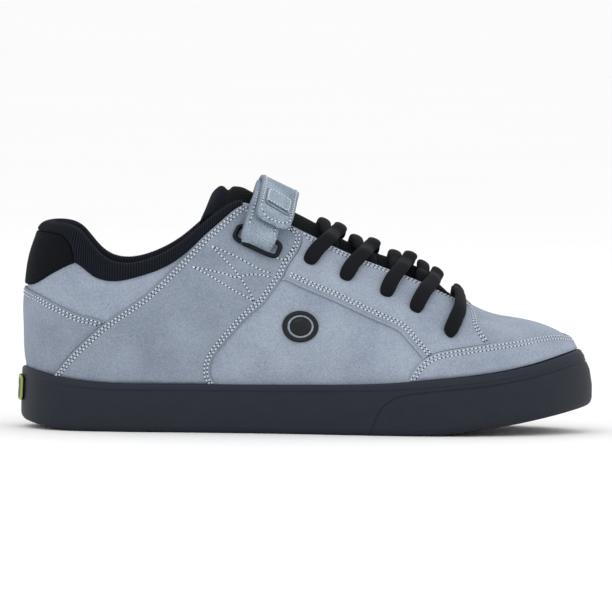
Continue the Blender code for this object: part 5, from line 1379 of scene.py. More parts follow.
def make_strap():
    """Lined suede strap with a rounded free end, a bare stitched patch and an embossed bar."""
    centres, wide, thick, at, broad = strap_line()
    to_end = at[-1] - at
    rounded = np.sqrt(np.clip(1 - (1 - to_end / STRAP_CORNER) ** 2, 0, 1))
    share = np.where(to_end < STRAP_CORNER, 1 - (1 - rounded) * 0.42, 1.0)
    dense = np.clip(to_end / (1.2 * MM), 0.06, 1) ** 0.5 * np.clip(0.3 + 0.7 * at / (6 * MM), 0, 1)
    profile = round_profile(28, 0.3)
    points, faces = sweep(
        centres, wide * (broad * share * STRAP_WIDTH / 2)[:, None],
        thick * (dense * (STRAP_THICKNESS / 2))[:, None], profile)
    distance = np.abs(profile[:, 0])
    # Painted shade on the strap's cut sides, at half strength
    edge = np.tile(0.5 * np.clip((distance - 0.93) / 0.07, 0, 1), len(centres))
    shown("strap_suede", points, faces, ["strap"], ["strap"],
          marks={"edge": np.concatenate([edge, [0, 0]])})

    def strap_place(spot, across, above):
        """Place off the strap's middle line at a run of `spot`, and what is above it there."""
        base, side, up = (resampled(spot, at, values) for values in (centres, wide, thick))
        return base + side * across + up * above, up

    def on_strap(back, across, out):
        """Place on the top layer, `back` from its free end, and what is above it there."""
        return strap_place(at[-1] - back, across, STRAP_THICKNESS / 2 + out)

    def plate(name, start, length, width, height, dark):
        """A small raised plate with rounded corners on the top layer, its rings darkened from the rim in by
        the shares in `dark`.
        """
        outline = round_profile(40, 0.2)
        middle = start + length / 2
        rings = []
        for share_in, shrink, out in (
            (1, 0.0, -0.2), (1, 0.0, 0.55), (1, 0.25, 0.9), (1, 0.7, 1.0), (0.66, 0.0, 1.0), (0.33, 0.0, 1.0),
        ):
            half_width, half_length = (share_in * (size / 2 - shrink * MM) for size in (width, length))
            rings.append([on_strap(middle + b * half_length, a * half_width, height * out)[0]
                          for a, b in outline])
        points, faces = capped(rings, on_strap(middle, 0, height)[0], on_strap(middle, 0, -0.2 * height)[0])
        shown(name, points, faces, ["strap"],
              marks={"edge": np.concatenate([np.repeat(dark, len(outline)), dark[-1:] * 2])})

    # Painted shade down the patch's rim; the bar is darkened nearly all over
    plate("strap_patch", PATCH_START, PATCH_LENGTH, PATCH_WIDTH, 0.75 * MM, [0.8, 1.0, 0.35, 0.0, 0.0, 0.0])
    plate("strap_bar", PATCH_START + BAR_INSET, 1.7 * MM, PATCH_WIDTH - 2 * BAR_INSET, 1.05 * MM, [0.9] * 6)

    pitch = look().stitch_pitch

    def strap_stitch(back_a, across_a, back_b, across_b, lift=0.0):
        """One stitch on the top layer between two needle holes."""
        a, up_a = on_strap(back_a, across_a, lift)
        b, up_b = on_strap(back_b, across_b, lift)
        STITCHES.append(((a + b) / 2 + up_a * 0.12 * MM, unit(b - a), unit(up_a + up_b)))

    inset = STRAP_WIDTH / 2 * (1 + STRAP_FLARE) - STRAP_SEAM_INSET
    backs = np.arange(STRAP_CORNER, STRAP_SEAM_END, pitch)
    for side in (-1, 1):
        for first, second in zip(backs, backs[1:]):
            strap_stitch(first, side * inset, second, side * inset)
    rim = [(2.0 * MM + 3.4 * MM * abs(t) ** 3, t * inset) for t in np.linspace(-1, 1, 9)]
    for (back_a, across_a), (back_b, across_b) in zip(rim, rim[1:]):
        strap_stitch(back_a, across_a, back_b, across_b)
    border = round_profile(400, 0.2)
    border = np.vstack([border, border[:1]]) * [PATCH_WIDTH / 2 - 1.1 * MM, PATCH_LENGTH / 2 - 2.1 * MM]
    length = run_of(border)
    border = resampled(np.linspace(0, length[-1], int(length[-1] / (1.7 * MM)) + 1), length, border)
    middle = PATCH_START + PATCH_LENGTH / 2 + 0.9 * MM
    for (across_a, back_a), (across_b, back_b) in zip(border, border[1:]):
        strap_stitch(middle + back_a, across_a, middle + back_b, across_b, 0.6 * MM)
    for side in (-1, 1):
        for first in np.arange(11 * MM, 34 * MM, pitch):
            (a, up_a), (b, _) = (
                strap_place(spot, side * (STRAP_WIDTH / 2 - 1.6 * MM), -(STRAP_THICKNESS / 2 + 0.12 * MM))
                for spot in (first, first + pitch))
            STITCHES.append(((a + b) / 2, unit(b - a), -up_a))


def make_rings():
    """Rounded oblong wire rings that hold the strap."""
    for side, name in ((-1, "strap_ring_lateral"), (1, "strap_ring_medial")):
        centre, wide, above, facing = ring_frame(side)
        centre = centre + facing * (SEAM_GAP + RING_WIRE / 2 + RING_LIFT[side])
        ring = round_profile(120, 0.42)
        centres = (centre + ring[:, :1] * wide * (RING_LENGTH - RING_WIRE) / 2
                   + ring[:, 1:] * above * (RING_DEPTH - RING_WIRE) / 2)
        closed = np.vstack([centres, centres[:1]])
        run = run_of(closed)
        centres = resampled(np.linspace(0, run[-1], 110)[:-1], run, closed)
        flat, thick = sweep_axes(centres, facing, closed=True)
        rings = rings_along(centres, flat, thick, round_profile(14) * RING_WIRE / 2)
        faces = grid_faces(len(centres), 14, wrap_rows=True)
        shown(f"{name}_wire", rings.reshape(-1, 3), faces, ["wire"], [name])


# Laces


LACE_WIDTH = 7 * MM
LACE_THICKNESS = 4 * MM
LACE_SIDES = 22  # corners of its profile
BAR_AT = 0.7606  # the straight bar, as a share of the length
# Where the laces from the outer and from the inner eyelet of each crossing pass the tongue's ridge
LACE_CRESTS = ((0.556, 0.528), (0.615, 0.584), (0.679, 0.652), (0.727, 0.702))


def on_tongue(x, y, lift=0.0):
    """Middle of a lace that lies on the tongue, or `lift` above it."""
    fall = (tongue_top(x, y + MM) - tongue_top(x, y - MM)) / (2 * MM)
    run = (tongue_top(x + 3 * MM, y) - tongue_top(x - 3 * MM, y)) / (6 * MM)
    off = (3 * SEAM_GAP + LACE_THICKNESS / 2) * np.sqrt(1 + fall**2 + run**2)
    return np.array([x, y, tongue_top(x, y) + off + lift])


def from_eyelet(spot, ahead, side):
    """Centre line, width and thickness shares out of an eyelet and up to the throat's edge."""
    rows = []
    for share, out, width, thick in (
        (0.02, -2.2, 0.5, 0.7), (-0.02, -0.2, 0.6, 0.85), (-0.05, 1.9, 0.92, 1.05), (0.02, 3.5, 1.1, 1.08),
        (0.2, 4.2, 1.14, 1.05), (0.5, 4.5, 1.12, 1.02), (1.0, 5.1, 1.08, 1.0),
    ):
        around = spot[0] + ahead * share
        up = spot[1] + (1 - spot[1]) * share
        place, facing = surface(around if side < 0 else 2 - around, up)
        rows.append((*(place + facing * out * MM), width, thick))
    return rows


def slant_to(spot, crest):
    """How far `around` a lace drifts on the eyestay to look straight on its way to its crest."""
    drift = np.linspace(-0.02, 0.12, 141)
    start = surface(*spot)[0]
    edge = surface(spot[0] + drift, np.ones_like(drift))[0] - start
    goal = np.array([crest, 0, tongue_top(crest, 0) + 5 * MM]) - start
    return drift[np.abs(edge[:, 0] * goal[2] - edge[:, 2] * goal[0]).argmin()]


def taut_place(edge, crest, across, lift):
    """Where a pulled lace runs from the edge to its crest: straight from the side, never in the tongue."""
    part = 1 - across / edge[1]
    straight = edge[2] + (crest[2] - edge[2]) * part
    x = edge[0] + (crest[0] - edge[0]) * part
    for _ in range(14):
        height = max(on_tongue(x, across, lift)[2], straight)
        share = np.clip((height - edge[2]) / (crest[2] - edge[2]), 0, 1)
        x = (x + edge[0] + (crest[0] - edge[0]) * share) / 2
    return x, across, height


def lace_rows(first, last, side, lift):
    """A lace from its eyelet over the edge and the tongue, then down under the other edge."""
    eyelets = side_spots(EYELETS)
    crest_x = x_of(LACE_CRESTS[first][0 if side < 0 else 1])
    crest = on_tongue(crest_x, 0.0, lift * 0.6)
    rows = from_eyelet(eyelets[first], slant_to(eyelets[first], crest_x), side)
    far_around = eyelets[last][0] - 0.022
    edge = np.array(rows[-1][:3])
    far = surface(2 - far_around if side < 0 else far_around, ROLLED)[0]
    for share_across, share in ((0.72, 0.5), (0.5, 0.85), (0.28, 1.0)):
        rows.append((*taut_place(edge, crest, edge[1] * share_across, lift * share), 1.06, 1.0))
    rows.append((*crest, 1.03, 1.0))
    for across, share in ((-5, 0.3), (-10, 0.1)):
        y = side * across * MM
        x = crest_x + (far[0] - crest_x) * (y / far[1]) ** 2
        rows.append((*on_tongue(x, y, lift * share), 1.0, 1.0))
    rows.append((*on_tongue(far[0], far[1] + side * 3.4 * MM, (1.2 + last * 0.3) * MM), 1.0, 0.9))
    end = on_tongue(far[0] + 0.5 * MM, far[1] + side * 0.8 * MM, (0.2 + last * 0.2) * MM)
    rows.append((*end, 0.95, 0.6))
    return np.array(rows)


def lace_points(rows):
    """Points, faces and flat places of a lace along rows of place, width share and thickness share."""
    line = smooth_line(rows, 12)
    run = run_of(line[:, :3])
    at = np.linspace(0, run[-1], int(run[-1] / (0.6 * MM)))
    line = resampled(at, run, line)
    centres = line[:, :3]
    x = centres[:, 0].mean()
    slope = np.array([10 * MM, 0.0, tongue_top(x + 5 * MM, 0) - tongue_top(x - 5 * MM, 0)])
    wide, thick = sweep_axes(centres, slope)
    points, faces = sweep(centres, wide * line[:, 3:4] * LACE_WIDTH / 2,
                          thick * line[:, 4:5] * LACE_THICKNESS / 2, round_profile(LACE_SIDES, 0.9))
    turns = np.arange(LACE_SIDES) / LACE_SIDES * 18.0
    over = np.stack(np.broadcast_arrays(turns[None, :], at[:, None] / MM), axis=-1).reshape(-1, 2)
    return points, faces, np.vstack([over, [[0, 0], [0, at[-1] / MM]]])


def make_laces():
    """Four crossings and the straight bar, each lace coming up through its eyelet."""
    for row in range(4):
        (outer, faces, outer_over), (inner, inner_faces, inner_over) = (
            lace_points(lace_rows(row, row + 1, side, lift)) for side, lift in ((-1, 3.2 * MM), (1, 0.0)))
        faces += [tuple(k + len(outer) for k in face) for face in inner_faces]
        shown(f"lace_crossing_{row + 1}", np.vstack([outer, inner]), faces, ["lace"],
              [f"lace_cross_{row + 1}"], over=np.vstack([outer_over, inner_over]))
    last = side_spots(EYELETS)[4]
    x = x_of(BAR_AT)
    near, far = (from_eyelet(last, slant_to(last, x), side) for side in (-1, 1))
    middle = [(*on_tongue(x, y * MM, 1.9 * MM), 1.0, 1.0) for y in (-9, -4, 0, 4, 9)]
    points, faces, over = lace_points(np.array([*near, *middle, *far[::-1]]))
    shown("lace_bar_braid", points, faces, ["lace"], ["lace_bar"], over=over)


# Sole


BumperLine = namedtuple("BumperLine", "around below_rim")
BUMPER_GROOVE = tuple(BumperLine(*row) for row in (
    (0.590, 1.08), (0.598, 0.80), (0.608, 0.52), (0.625, 0.33),
    (0.650, 0.24), (0.700, 0.21), (0.800, 0.21), (0.900, 0.21),
    (1.000, 0.21),
))
WALL_HEIGHTS = np.array([1.0, 0.985, 0.965, 0.88, 0.872, 0.64, 0.36, 0.14])
WALL_LEANS = np.array([1.0, 0.95, 0.90, 0.66, 0.64, 0.20, 0.0, 0.0])
WALL_PROUD = np.array([-0.40, 0.12, 0.3, 0.3, 0.0, 0.0, 0.0, 0.0])
TREAD_EDGE = 0.14
GROOVE_WIDTH = 2.4 * MM
GROOVE_DEPTH = 1.5 * MM
GROOVE_MARGIN = 9 * MM
GROOVE_WAVE = 4 * MM
BUMPER_DEPTH = 0.55 * MM
BUMPER_WIDTH = 0.33 * MM
RIM_STEPS = 480  # points round the sole
WALL_SPREAD = 1.15  # height of the sidewall laid flat, as a share of its own
GROOVES_AT = (0.055, 0.098, 0.215, 0.258, 0.300, 0.500, 0.545, 0.655, 0.70, 0.745, 0.79, 0.835)
TREAD_ROUND = 2.8 * MM


def wall_place(around, height, sink=0.0):
    """Places on the outside of the sole, `sink` below its true surface."""
    sole = SOLE_LINE.at(around)
    out = outward(around)
    lean = np.interp(height, WALL_HEIGHTS[::-1], WALL_LEANS[::-1])
    proud = np.interp(height, WALL_HEIGHTS[::-1], WALL_PROUD[::-1]) * MM
    under = np.clip((TREAD_EDGE - height) / TREAD_EDGE, 0, 1)
    proud = proud - TREAD_ROUND * (1 - np.sqrt(1 - under**2)) - sink
    flat = np.concatenate([sole[..., :2], np.zeros_like(sole[..., :1])], axis=-1)
    place = flat - out * (lean * sole[..., 3] - proud)[..., None]
    bottom = tread_height(place[..., 0])
    place[..., 2] = bottom + height * (sole[..., 2] - bottom)
    return place


def bumper_line():
    """The toe bumper's edge as (around, height) along both sides."""
    lateral = smooth_line([tuple(row) for row in BUMPER_GROOVE], 10)
    line = np.vstack([lateral, mirrored(lateral, 1.0)[1:]])
    return np.stack([line[:, 0], 1 - line[:, 1]], axis=1)


def make_outsole():
    """Cup sole: banded sidewall with a painted highlight along its top, the toe bumper's groove, a zigzag
    tread and the cup inside.
    """
    turn_at = np.linspace(0, 2, 4001)
    girth = run_of(SOLE_LINE.at(turn_at)[:, :2])

    def to_flat(line):
        """Places (around, height) on the sidewall laid flat, in metres."""
        height = line[:, 1] * SIDEWALL_HEIGHT * WALL_SPREAD
        return np.stack([np.interp(line[:, 0], turn_at, girth), height], axis=1)

    def to_spot(flat):
        """The same back from metres."""
        height = flat[:, 1] / (SIDEWALL_HEIGHT * WALL_SPREAD)
        return np.stack([np.interp(flat[:, 0], girth, turn_at), height], axis=1)

    heights = np.array([
        1.0, 0.985, 0.965, 0.935, 0.905, 0.88, 0.872, 0.84, 0.79, 0.74, 0.69, 0.64, 0.58, 0.52,
        0.46, 0.40, 0.34, 0.28, 0.22, 0.17, 0.14, 0.115, 0.09, 0.065, 0.04, 0.02, 0.007, 0.0])
    columns = np.linspace(0, girth[-1], RIM_STEPS + 1)
    grid = np.stack(np.meshgrid(columns, heights * SIDEWALL_HEIGHT * WALL_SPREAD), axis=-1).reshape(-1, 2)
    bumper = to_flat(bumper_line())
    run = run_of(bumper)
    bumper = resampled(np.linspace(0, run[-1], int(run[-1] / (0.8 * MM))), run, bumper)
    bumper = bumper[bumper[:, 1] > 0.15 * MM]
    travel = unit(np.gradient(bumper, axis=0))
    side = np.stack([-travel[:, 1], travel[:, 0]], axis=1)
    tracks = np.vstack([bumper + side * shift * MM for shift in (-1.0, -0.55, -0.28, 0.0, 0.28, 0.55, 1.0)])
    tracks = tracks[(tracks[:, 1] > 0.1 * MM) & (tracks[:, 1] < heights[1] * SIDEWALL_HEIGHT * WALL_SPREAD)]
    far = nearest(grid, bumper)[0]
    border = (grid[:, 1] <= 0) | (grid[:, 1] >= heights[0] * SIDEWALL_HEIGHT * WALL_SPREAD - 1e-9)
    border |= (grid[:, 0] <= 0) | (grid[:, 0] >= girth[-1] - 1e-9)
    flat = np.vstack([grid[(far > 1.25 * MM) | border], tracks])
    found, _, faces = delaunay_2d_cdt([Vector(p * 1000) for p in flat], [], [], 0, 1e-6)[:3]
    flat = np.array([tuple(p) for p in found]) / 1000
    where = to_spot(flat)
    gap, index = nearest(flat, bumper)
    sink = BUMPER_DEPTH * np.exp(-((gap / BUMPER_WIDTH) ** 2))
    wall = wall_place(where[:, 0], np.clip(where[:, 1], 0, 1), sink)
    offset = ((flat - bumper[index]) * side[index]).sum(1)
    ahead = (where[:, 0] > 0.59) & (where[:, 0] < 1.41)
    on_bumper = ahead & (offset < -0.4 * MM) & (gap > 0.5 * MM)
    # Painted highlight: paler from the step up and most along the top of the sidewall, but not in the
    # bumper's groove
    band = 0.2 * smooth_step((where[:, 1] - 0.875) / 0.01) + 0.5 * smooth_step((where[:, 1] - 0.965) / 0.02)
    band = band * (1 - np.exp(-((gap / (0.4 * MM)) ** 2)))

    side_at = np.linspace(0, 1, 2001)
    side_x = SOLE_LINE.at(side_at)[:, 0]
    samples = [np.linspace(0.0, 1.0, 90)]
    for share in GROOVES_AT:
        samples.append(np.interp(x_of(share) + np.linspace(-4.4, 4.4, 23) * MM, side_x, side_at))
    stations = np.unique(np.round(np.concatenate(samples), 5))
    shares = np.linspace(0, 1, 97)
    lateral = wall_place(stations, np.zeros_like(stations))
    medial = wall_place(2 - stations, np.zeros_like(stations))
    tread = lateral[:, None] * (1 - shares)[None, :, None] + medial[:, None] * shares[None, :, None]
    tread[..., 2] = tread_height(tread[..., 0])
    width = np.linalg.norm((medial - lateral)[:, :2], axis=1)[:, None]
    from_edge = np.minimum(shares, 1 - shares)[None, :] * width
    field = smooth_step((from_edge - GROOVE_MARGIN + TREAD_ROUND) / (0.8 * MM))
    zigzag = GROOVE_WAVE / 2 * (4 * np.abs(np.mod(shares * 2 + 0.5, 1.0) - 0.5) - 1)
    for share in GROOVES_AT:
        off = np.abs(tread[..., 0] - x_of(share) - zigzag[None, :])
        tread[..., 2] += GROOVE_DEPTH * field * smooth_step((GROOVE_WIDTH / 2 + 0.3 * MM - off) / (0.5 * MM))
    tread_faces = grid_faces(len(stations), len(shares), wrap_columns=False)

    around = np.arange(RIM_STEPS) / RIM_STEPS * 2
    inner = []
    for row in (0.0, -0.03, -0.4, -0.8, -1.0):
        place, facing = surface(around, np.full_like(around, row))
        place = place + facing * SEAM_GAP
        if row == 0.0:
            place[:, 2] = SOLE_LINE.at(around)[:, 2]
        inner.append(place)
    top = wall_place(around, np.ones_like(around))
    cup = np.array([top, (top + inner[0]) / 2 + [0, 0, 0.1 * MM]] + inner)
    cup[-1, :, 2] = floor_height(cup[-1, :, 0])
    cup_faces = grid_faces(len(cup), RIM_STEPS) + across_faces((len(cup) - 1) * RIM_STEPS, RIM_STEPS)

    points, solid = np.zeros((0, 3)), []
    for part, part_faces in ((wall, faces), (tread, tread_faces), (cup, cup_faces)):
        solid += [tuple(k + len(points) for k in face) for face in part_faces]
        points = np.vstack([points, part.reshape(-1, 3)])
    rest = len(points) - len(wall)
    # The rim's top and the cup inside take 0.4 of the painted highlight
    shown("outsole_rubber", points, solid, ["rubber"], ["outsole"],
          marks={"band": np.concatenate([band, np.zeros(tread.size // 3), np.full(cup.size // 3, 0.4)]),
                 "bumper": np.concatenate([on_bumper, np.zeros(rest)])},
          over=np.vstack([flat / MM, np.zeros((rest, 2))]))


def make_insole():
    """Soft footbed with a raised rim."""
    size = 240
    around = np.arange(size) / size * 2
    place, facing = surface(around, np.full_like(around, ROLLED + 2.0))
    place = place + facing * 0.25 * MM
    rings = []
    for inset, height in ((0.0, 0.2), (0.0, 4.4), (0.5, 5.2), (1.6, 5.3), (4.0, 4.7), (8.0, 4.5)):
        ring = place + facing * inset * MM * [1, 1, 0]
        ring[:, 2] = floor_height(ring[:, 0]) + height * MM
        rings.append(ring)
    faces = grid_faces(len(rings), size) + [face[::-1] for face in across_faces(0, size)]
    faces += across_faces((len(rings) - 1) * size, size)
    insole = shown("insole_cloth", np.vstack(rings), faces, ["lining"], ["insole"])


LABEL_MIDDLE = 0.60  # height on the sidewall, as a share
LABEL_HALF_HEIGHT = 0.24
LABEL_HALF_WIDTH = 0.0355  # in units of around


def make_marks():
    """Bare glossy badge on the outer side and the bare label on the back of the sole."""
    spot = side_spots([BADGE_AT])[0]
    size = 64
    rings = []
    for radius, out in (
        (9.4, 0.0), (9.3, 1.1), (8.9, 1.55), (8.0, 1.7), (7.1, 1.55), (6.7, 1.0), (6.2, 0.85), (5.7, 1.0),
        (5.3, 1.5), (4.4, 1.9), (2.8, 2.15), (1.2, 2.25),
    ):
        ring = spot_ring(spot, radius * MM, size)
        ring[:, 1] = spot[1] + (ring[:, 1] - spot[1]) * 0.87
        rings.append(dressed(*ring.T, out * MM)[0])
    centre, base = (dressed(spot[:1], spot[1:], out * MM)[0] for out in (2.27, -0.3))
    points, faces = capped(rings, centre, base)
    shown("side_badge_rubber", points, faces, ["gloss", "strap"], ["side_badge"],
          face_paint=[int(5 * size <= k < 7 * size) for k in range(len(faces))])

    size = 48
    across, high = round_profile(size, 0.3).T
    rings = []
    for shrink, out in ((1.0, 0.0), (1.0, 0.75), (0.99, 1.25), (0.93, 1.45), (0.80, 1.4), (0.4, 1.4)):
        around = across * LABEL_HALF_WIDTH * (1 - (1 - shrink) * 0.6)
        height = LABEL_MIDDLE + high * LABEL_HALF_HEIGHT * shrink
        rings.append(wall_place(np.mod(around, 2), height, -(SEAM_GAP + out * MM)))
    centre, base = (wall_place(np.zeros(1), np.full(1, LABEL_MIDDLE), sink)
                    for sink in (-(SEAM_GAP + 1.25 * MM), 0.0))
    points, faces = capped(rings, centre, base)
    shown("heel_label_rubber", points, faces, ["label", "label_rim"], ["heel_label"],
          face_paint=[int(size <= k < 4 * size) for k in range(len(faces))])


def make_stitches():
    """All thread as rows of stitches, with a dark bead of painted shade in the needle hole at each end of a
    stitch.
    """
    size = look()
    places, headings, facings = (np.array(part) for part in zip(*STITCHES))
    scatter("stitching", places, headings, facings, size.stitch_pitch * 0.72, size.thread_thickness, "thread")
    ends = places + headings * size.stitch_pitch * 0.5 - facings * size.thread_thickness * 0.22
    scatter("needle_hole_painted_shade", ends, headings, facings, size.stitch_pitch * 0.44, size.thread_thickness * 1.05,
            "hole", (6, 4))


STAGE_REACH = 14.0
SENSOR_WIDTH = 36.0
VIEW_CENTRE = Vector((0.1007, -0.042, 0.066))  # the photograph's middle, above the edge of the tread
LIT_SPOT = Vector((0.1, 0, 0.05))
Lamp = namedtuple("Lamp", "name place width share")
LAMPS = (
    Lamp("key_light", (-0.35, -1.3, 1.3), 1.2, 1.0),
    Lamp("fill_light", (1.0, -1.1, 0.7), 1.0, 0.45),
    Lamp("back_light", (0.2, 1.1, 1.3), 1.2, 0.5),
)


def make_stage():
    """Flat pale floor, soft lights and the camera of the photograph."""
    size = look()
    scene = bpy.context.scene
    mesh = bpy.data.meshes.new("studio_floor")
    corners = [(x * STAGE_REACH, y * STAGE_REACH, 0.0) for x, y in ((-1, -1), (1, -1), (1, 1), (-1, 1))]
    mesh.from_pydata(corners, [], [(0, 1, 2, 3)])
    material, tree, shader, _, faint = blank("matt_white_board", (0.25, *SMEAR))
    board = ramp(tree, faint, 0.3, 0.7, linear("#FEFEFE"), linear("#FFFFFF"))
    finish_shader(tree, shader, board, 0.9, specular_ior_level=0.1)
    mesh.materials.append(material)
    floor = bpy.data.objects.new("studio_floor", mesh)
    scene.collection.objects.link(floor)

    world = bpy.data.worlds.new("studio_light")
    world.use_nodes = True
    sky = world.node_tree.nodes["Background"]
    sky.inputs["Color"].default_value = (1.0, 1.0, 1.0, 1.0)
    sky.inputs["Strength"].default_value = size.sky_strength
    scene.world = world
    for lamp in LAMPS:
        light = bpy.data.lights.new(lamp.name, "AREA")
        light.shape = "DISK"
        light.size = lamp.width
        light.energy = size.key_power * lamp.share
        thing = bpy.data.objects.new(lamp.name, light)
        scene.collection.objects.link(thing)
        thing.location = lamp.place
        thing.rotation_euler = (LIT_SPOT - Vector(lamp.place)).to_track_quat("-Z", "Y").to_euler()

    lens = bpy.data.cameras.new("photo_camera")
    lens.sensor_fit = "HORIZONTAL"
    lens.sensor_width = SENSOR_WIDTH
    lens.lens = SENSOR_WIDTH * size.camera_distance / size.view_width
    lens.clip_end = 60
    camera = bpy.data.objects.new("photo_camera", lens)
    scene.collection.objects.link(camera)
    level = np.cos(size.camera_elevation)
    back = Vector((np.sin(size.camera_azimuth) * level, -np.cos(size.camera_azimuth) * level,
                   np.sin(size.camera_elevation)))
    camera.location = VIEW_CENTRE + back * size.camera_distance
    turn = (-back).to_track_quat("-Z", "Y").to_matrix() @ Matrix.Rotation(size.camera_roll, 3, "Z")
    camera.rotation_euler = turn.to_euler()
    scene.camera = camera
    scene.view_settings.view_transform = "Standard"
    scene.view_settings.look = "None"


def look():
    """The sizes of the scene's shoe settings."""
    return bpy.context.scene.shoe_look


class ShoeLook(bpy.types.PropertyGroup):
    """Sizes of the details that the looks add."""

    stitch_pitch: bpy.props.FloatProperty(
        name="Stitch pitch", description="From one needle hole to the next", default=2.15 * MM, unit="LENGTH")
    thread_thickness: bpy.props.FloatProperty(
        name="Thread", description="Thickness of the sewing thread", default=0.72 * MM, unit="LENGTH")
    crease_depth: bpy.props.FloatProperty(
        name="Creases", description="Share of the full depth of the hand-pressed creases", default=1.0)
    rib_pitch: bpy.props.FloatProperty(
        name="Rib pitch", description="Spacing of the ribs in the collar's knit", default=1.4 * MM,
        unit="LENGTH")
    view_width: bpy.props.FloatProperty(
        name="View width", description="What the photograph shows across", default=0.3147, unit="LENGTH")
    camera_distance: bpy.props.FloatProperty(
        name="Camera distance", description="From the shoe to the camera", default=8.0, unit="LENGTH")
    camera_azimuth: bpy.props.FloatProperty(
        name="Camera azimuth", description="Turn of the camera towards the toe", default=0.0, unit="ROTATION")
    camera_elevation: bpy.props.FloatProperty(
        name="Camera elevation", description="Height of the camera", default=np.radians(3.2), unit="ROTATION")
    camera_roll: bpy.props.FloatProperty(
        name="Camera roll", description="Tilt of the picture", default=np.radians(0.6), unit="ROTATION")
    sky_strength: bpy.props.FloatProperty(
        name="Sky", description="Strength of the even light from all sides", default=0.97)
    key_power: bpy.props.FloatProperty(
        name="Key light", description="Power of the soft main light", default=3.0, unit="POWER")


def tone(name, description, code):
    """A colour setting with an sRGB default."""
    return bpy.props.FloatVectorProperty(
        name=name, description=description, default=linear(code), subtype="COLOR", size=3, min=0.0, max=1.0)


class ShoeColours(bpy.types.PropertyGroup):
    """Colours of the finishes."""

    suede_dark: tone("Suede, nap down", "Darker patches of the suede", "#828C9C")
    suede_light: tone("Suede, nap up", "Lighter patches of the suede", "#A9B3C2")
    deep_dark: tone("Saddle suede, nap down", "Darker patches of the saddle and counter", "#737D8C")
    deep_light: tone("Saddle suede, nap up", "Lighter patches of the saddle and counter", "#99A3B2")
    strap_dark: tone("Strap, nap down", "Darker patches of the strap", "#6E7B8B")
    strap_light: tone("Strap, nap up", "Lighter patches of the strap", "#A6B4C2")
    black_dark: tone("Black cloth, low", "Hollows of the black cloth", "#07080B")
    black_light: tone("Black cloth, high", "High threads of the black cloth", "#171A20")
    knit_dark: tone("Knit and lining, low", "Hollows of the knit and the lining", "#0A0C11")
    knit_light: tone("Knit and lining, high", "High threads of the knit and the lining", "#20252E")
    lace_dark: tone("Lace, low", "Between the strands of the lace", "#07080B")
    lace_light: tone("Lace, high", "Strands of the lace", "#191C22")
    rubber: tone("Rubber", "Sidewall and tread", "#1A1F29")
    # Painted highlight along the top of the sidewall and on the rim's top
    rubber_rim_painted_highlight: tone("Rubber rim", "Paler band along the rim", "#252D39")
    gloss: tone("Gloss rubber", "Moulded badge", "#0B0D11")
    thread: tone("Thread", "Sewing thread", "#D9E0EA")
    hole: tone("Needle hole", "Shade in the needle holes", "#1D222C")
    wire: tone("Wire", "Plated wire of the rings", "#24272D")
    label: tone("Label", "Label on the heel of the sole", "#14170F")
    label_rim: tone("Label rim", "Rim of the heel label", "#8FA63A")


class SHOE_OT_materials(bpy.types.Operator):
    """Make every finish of the shoe"""

    bl_idname = "shoe.materials"
    bl_label = "Mix materials"

    def execute(self, context):
        mix_materials()
        return {"FINISHED"}


class SHOE_OT_stage(bpy.types.Operator):
    """Make the floor, the lights and the camera"""

    bl_idname = "shoe.stage"
    bl_label = "Set the stage"

    def execute(self, context):
        make_stage()
        return {"FINISHED"}


class SHOE_OT_outsole(bpy.types.Operator):
    """Make the rubber cup sole"""

    bl_idname = "shoe.outsole"
    bl_label = "Make the outsole"

    def execute(self, context):
        make_outsole()
        return {"FINISHED"}


class SHOE_OT_insole(bpy.types.Operator):
    """Make the footbed"""

    bl_idname = "shoe.insole"
    bl_label = "Make the insole"

    def execute(self, context):
        make_insole()
        return {"FINISHED"}


class SHOE_OT_upper(bpy.types.Operator):
    """Make the suede body with its lining"""

    bl_idname = "shoe.upper"
    bl_label = "Make the upper"

    def execute(self, context):
        make_upper()
        return {"FINISHED"}


class SHOE_OT_overlays(bpy.types.Operator):
    """Make the sewn suede layers"""

    bl_idname = "shoe.overlays"
    bl_label = "Make the overlays"

    def execute(self, context):
        make_overlays()
        return {"FINISHED"}


class SHOE_OT_collar(bpy.types.Operator):
    """Make the ribbed cuff"""

    bl_idname = "shoe.collar"
    bl_label = "Make the collar"

    def execute(self, context):
        make_collar()
        return {"FINISHED"}


class SHOE_OT_tongue(bpy.types.Operator):
    """Make the padded tongue"""

    bl_idname = "shoe.tongue"
    bl_label = "Make the tongue"

    def execute(self, context):
        make_tongue()
        return {"FINISHED"}


class SHOE_OT_rings(bpy.types.Operator):
    """Make the wire rings"""

    bl_idname = "shoe.rings"
    bl_label = "Make the rings"

    def execute(self, context):
        make_rings()
        return {"FINISHED"}


class SHOE_OT_strap(bpy.types.Operator):
    """Make the instep strap"""

    bl_idname = "shoe.strap"
    bl_label = "Make the strap"

    def execute(self, context):
        make_strap()
        return {"FINISHED"}


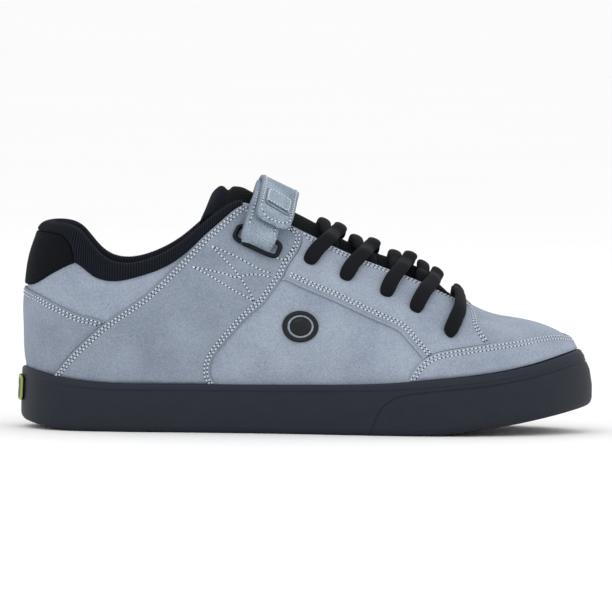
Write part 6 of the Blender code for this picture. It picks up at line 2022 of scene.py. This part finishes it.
class SHOE_OT_laces(bpy.types.Operator):
    """Make the braided laces"""

    bl_idname = "shoe.laces"
    bl_label = "Make the laces"

    def execute(self, context):
        make_laces()
        return {"FINISHED"}


class SHOE_OT_marks(bpy.types.Operator):
    """Make the bare badge and heel label"""

    bl_idname = "shoe.marks"
    bl_label = "Make badge and label"

    def execute(self, context):
        make_marks()
        return {"FINISHED"}


class SHOE_OT_stitching(bpy.types.Operator):
    """Make all the stitches"""

    bl_idname = "shoe.stitching"
    bl_label = "Make the stitching"

    def execute(self, context):
        make_stitches()
        return {"FINISHED"}


STEPS = (
    SHOE_OT_materials, SHOE_OT_stage, SHOE_OT_outsole, SHOE_OT_insole, SHOE_OT_upper, SHOE_OT_overlays,
    SHOE_OT_collar, SHOE_OT_tongue, SHOE_OT_rings, SHOE_OT_strap, SHOE_OT_laces, SHOE_OT_marks,
    SHOE_OT_stitching,
)


class SHOE_PT_looks(bpy.types.Panel):
    """Settings and steps of the shoe's looks."""

    bl_label = "Skateboarding shoe"
    bl_space_type = "VIEW_3D"
    bl_region_type = "UI"
    bl_category = "Shoe"

    def draw(self, context):
        scene = context.scene
        for group, settings in ((ShoeLook, scene.shoe_look), (ShoeColours, scene.shoe_colours)):
            for name in group.__annotations__:
                self.layout.prop(settings, name)
        for step in STEPS:
            self.layout.operator(step.bl_idname)


CLASSES = (ShoeLook, ShoeColours, *STEPS, SHOE_PT_looks)


def register():
    """Make the classes and the settings known to Blender."""
    for item in CLASSES:
        bpy.utils.register_class(item)
    bpy.types.Scene.shoe_look = bpy.props.PointerProperty(type=ShoeLook)
    bpy.types.Scene.shoe_colours = bpy.props.PointerProperty(type=ShoeColours)


def unregister():
    """Take the settings and the classes out again."""
    del bpy.types.Scene.shoe_colours
    del bpy.types.Scene.shoe_look
    for item in reversed(CLASSES):
        bpy.utils.unregister_class(item)


def main():
    """Run every step in order."""
    register()
    for step in STEPS:
        getattr(bpy.ops.shoe, step.bl_idname.split(".")[1])()


if __name__ == "__main__":
    main()
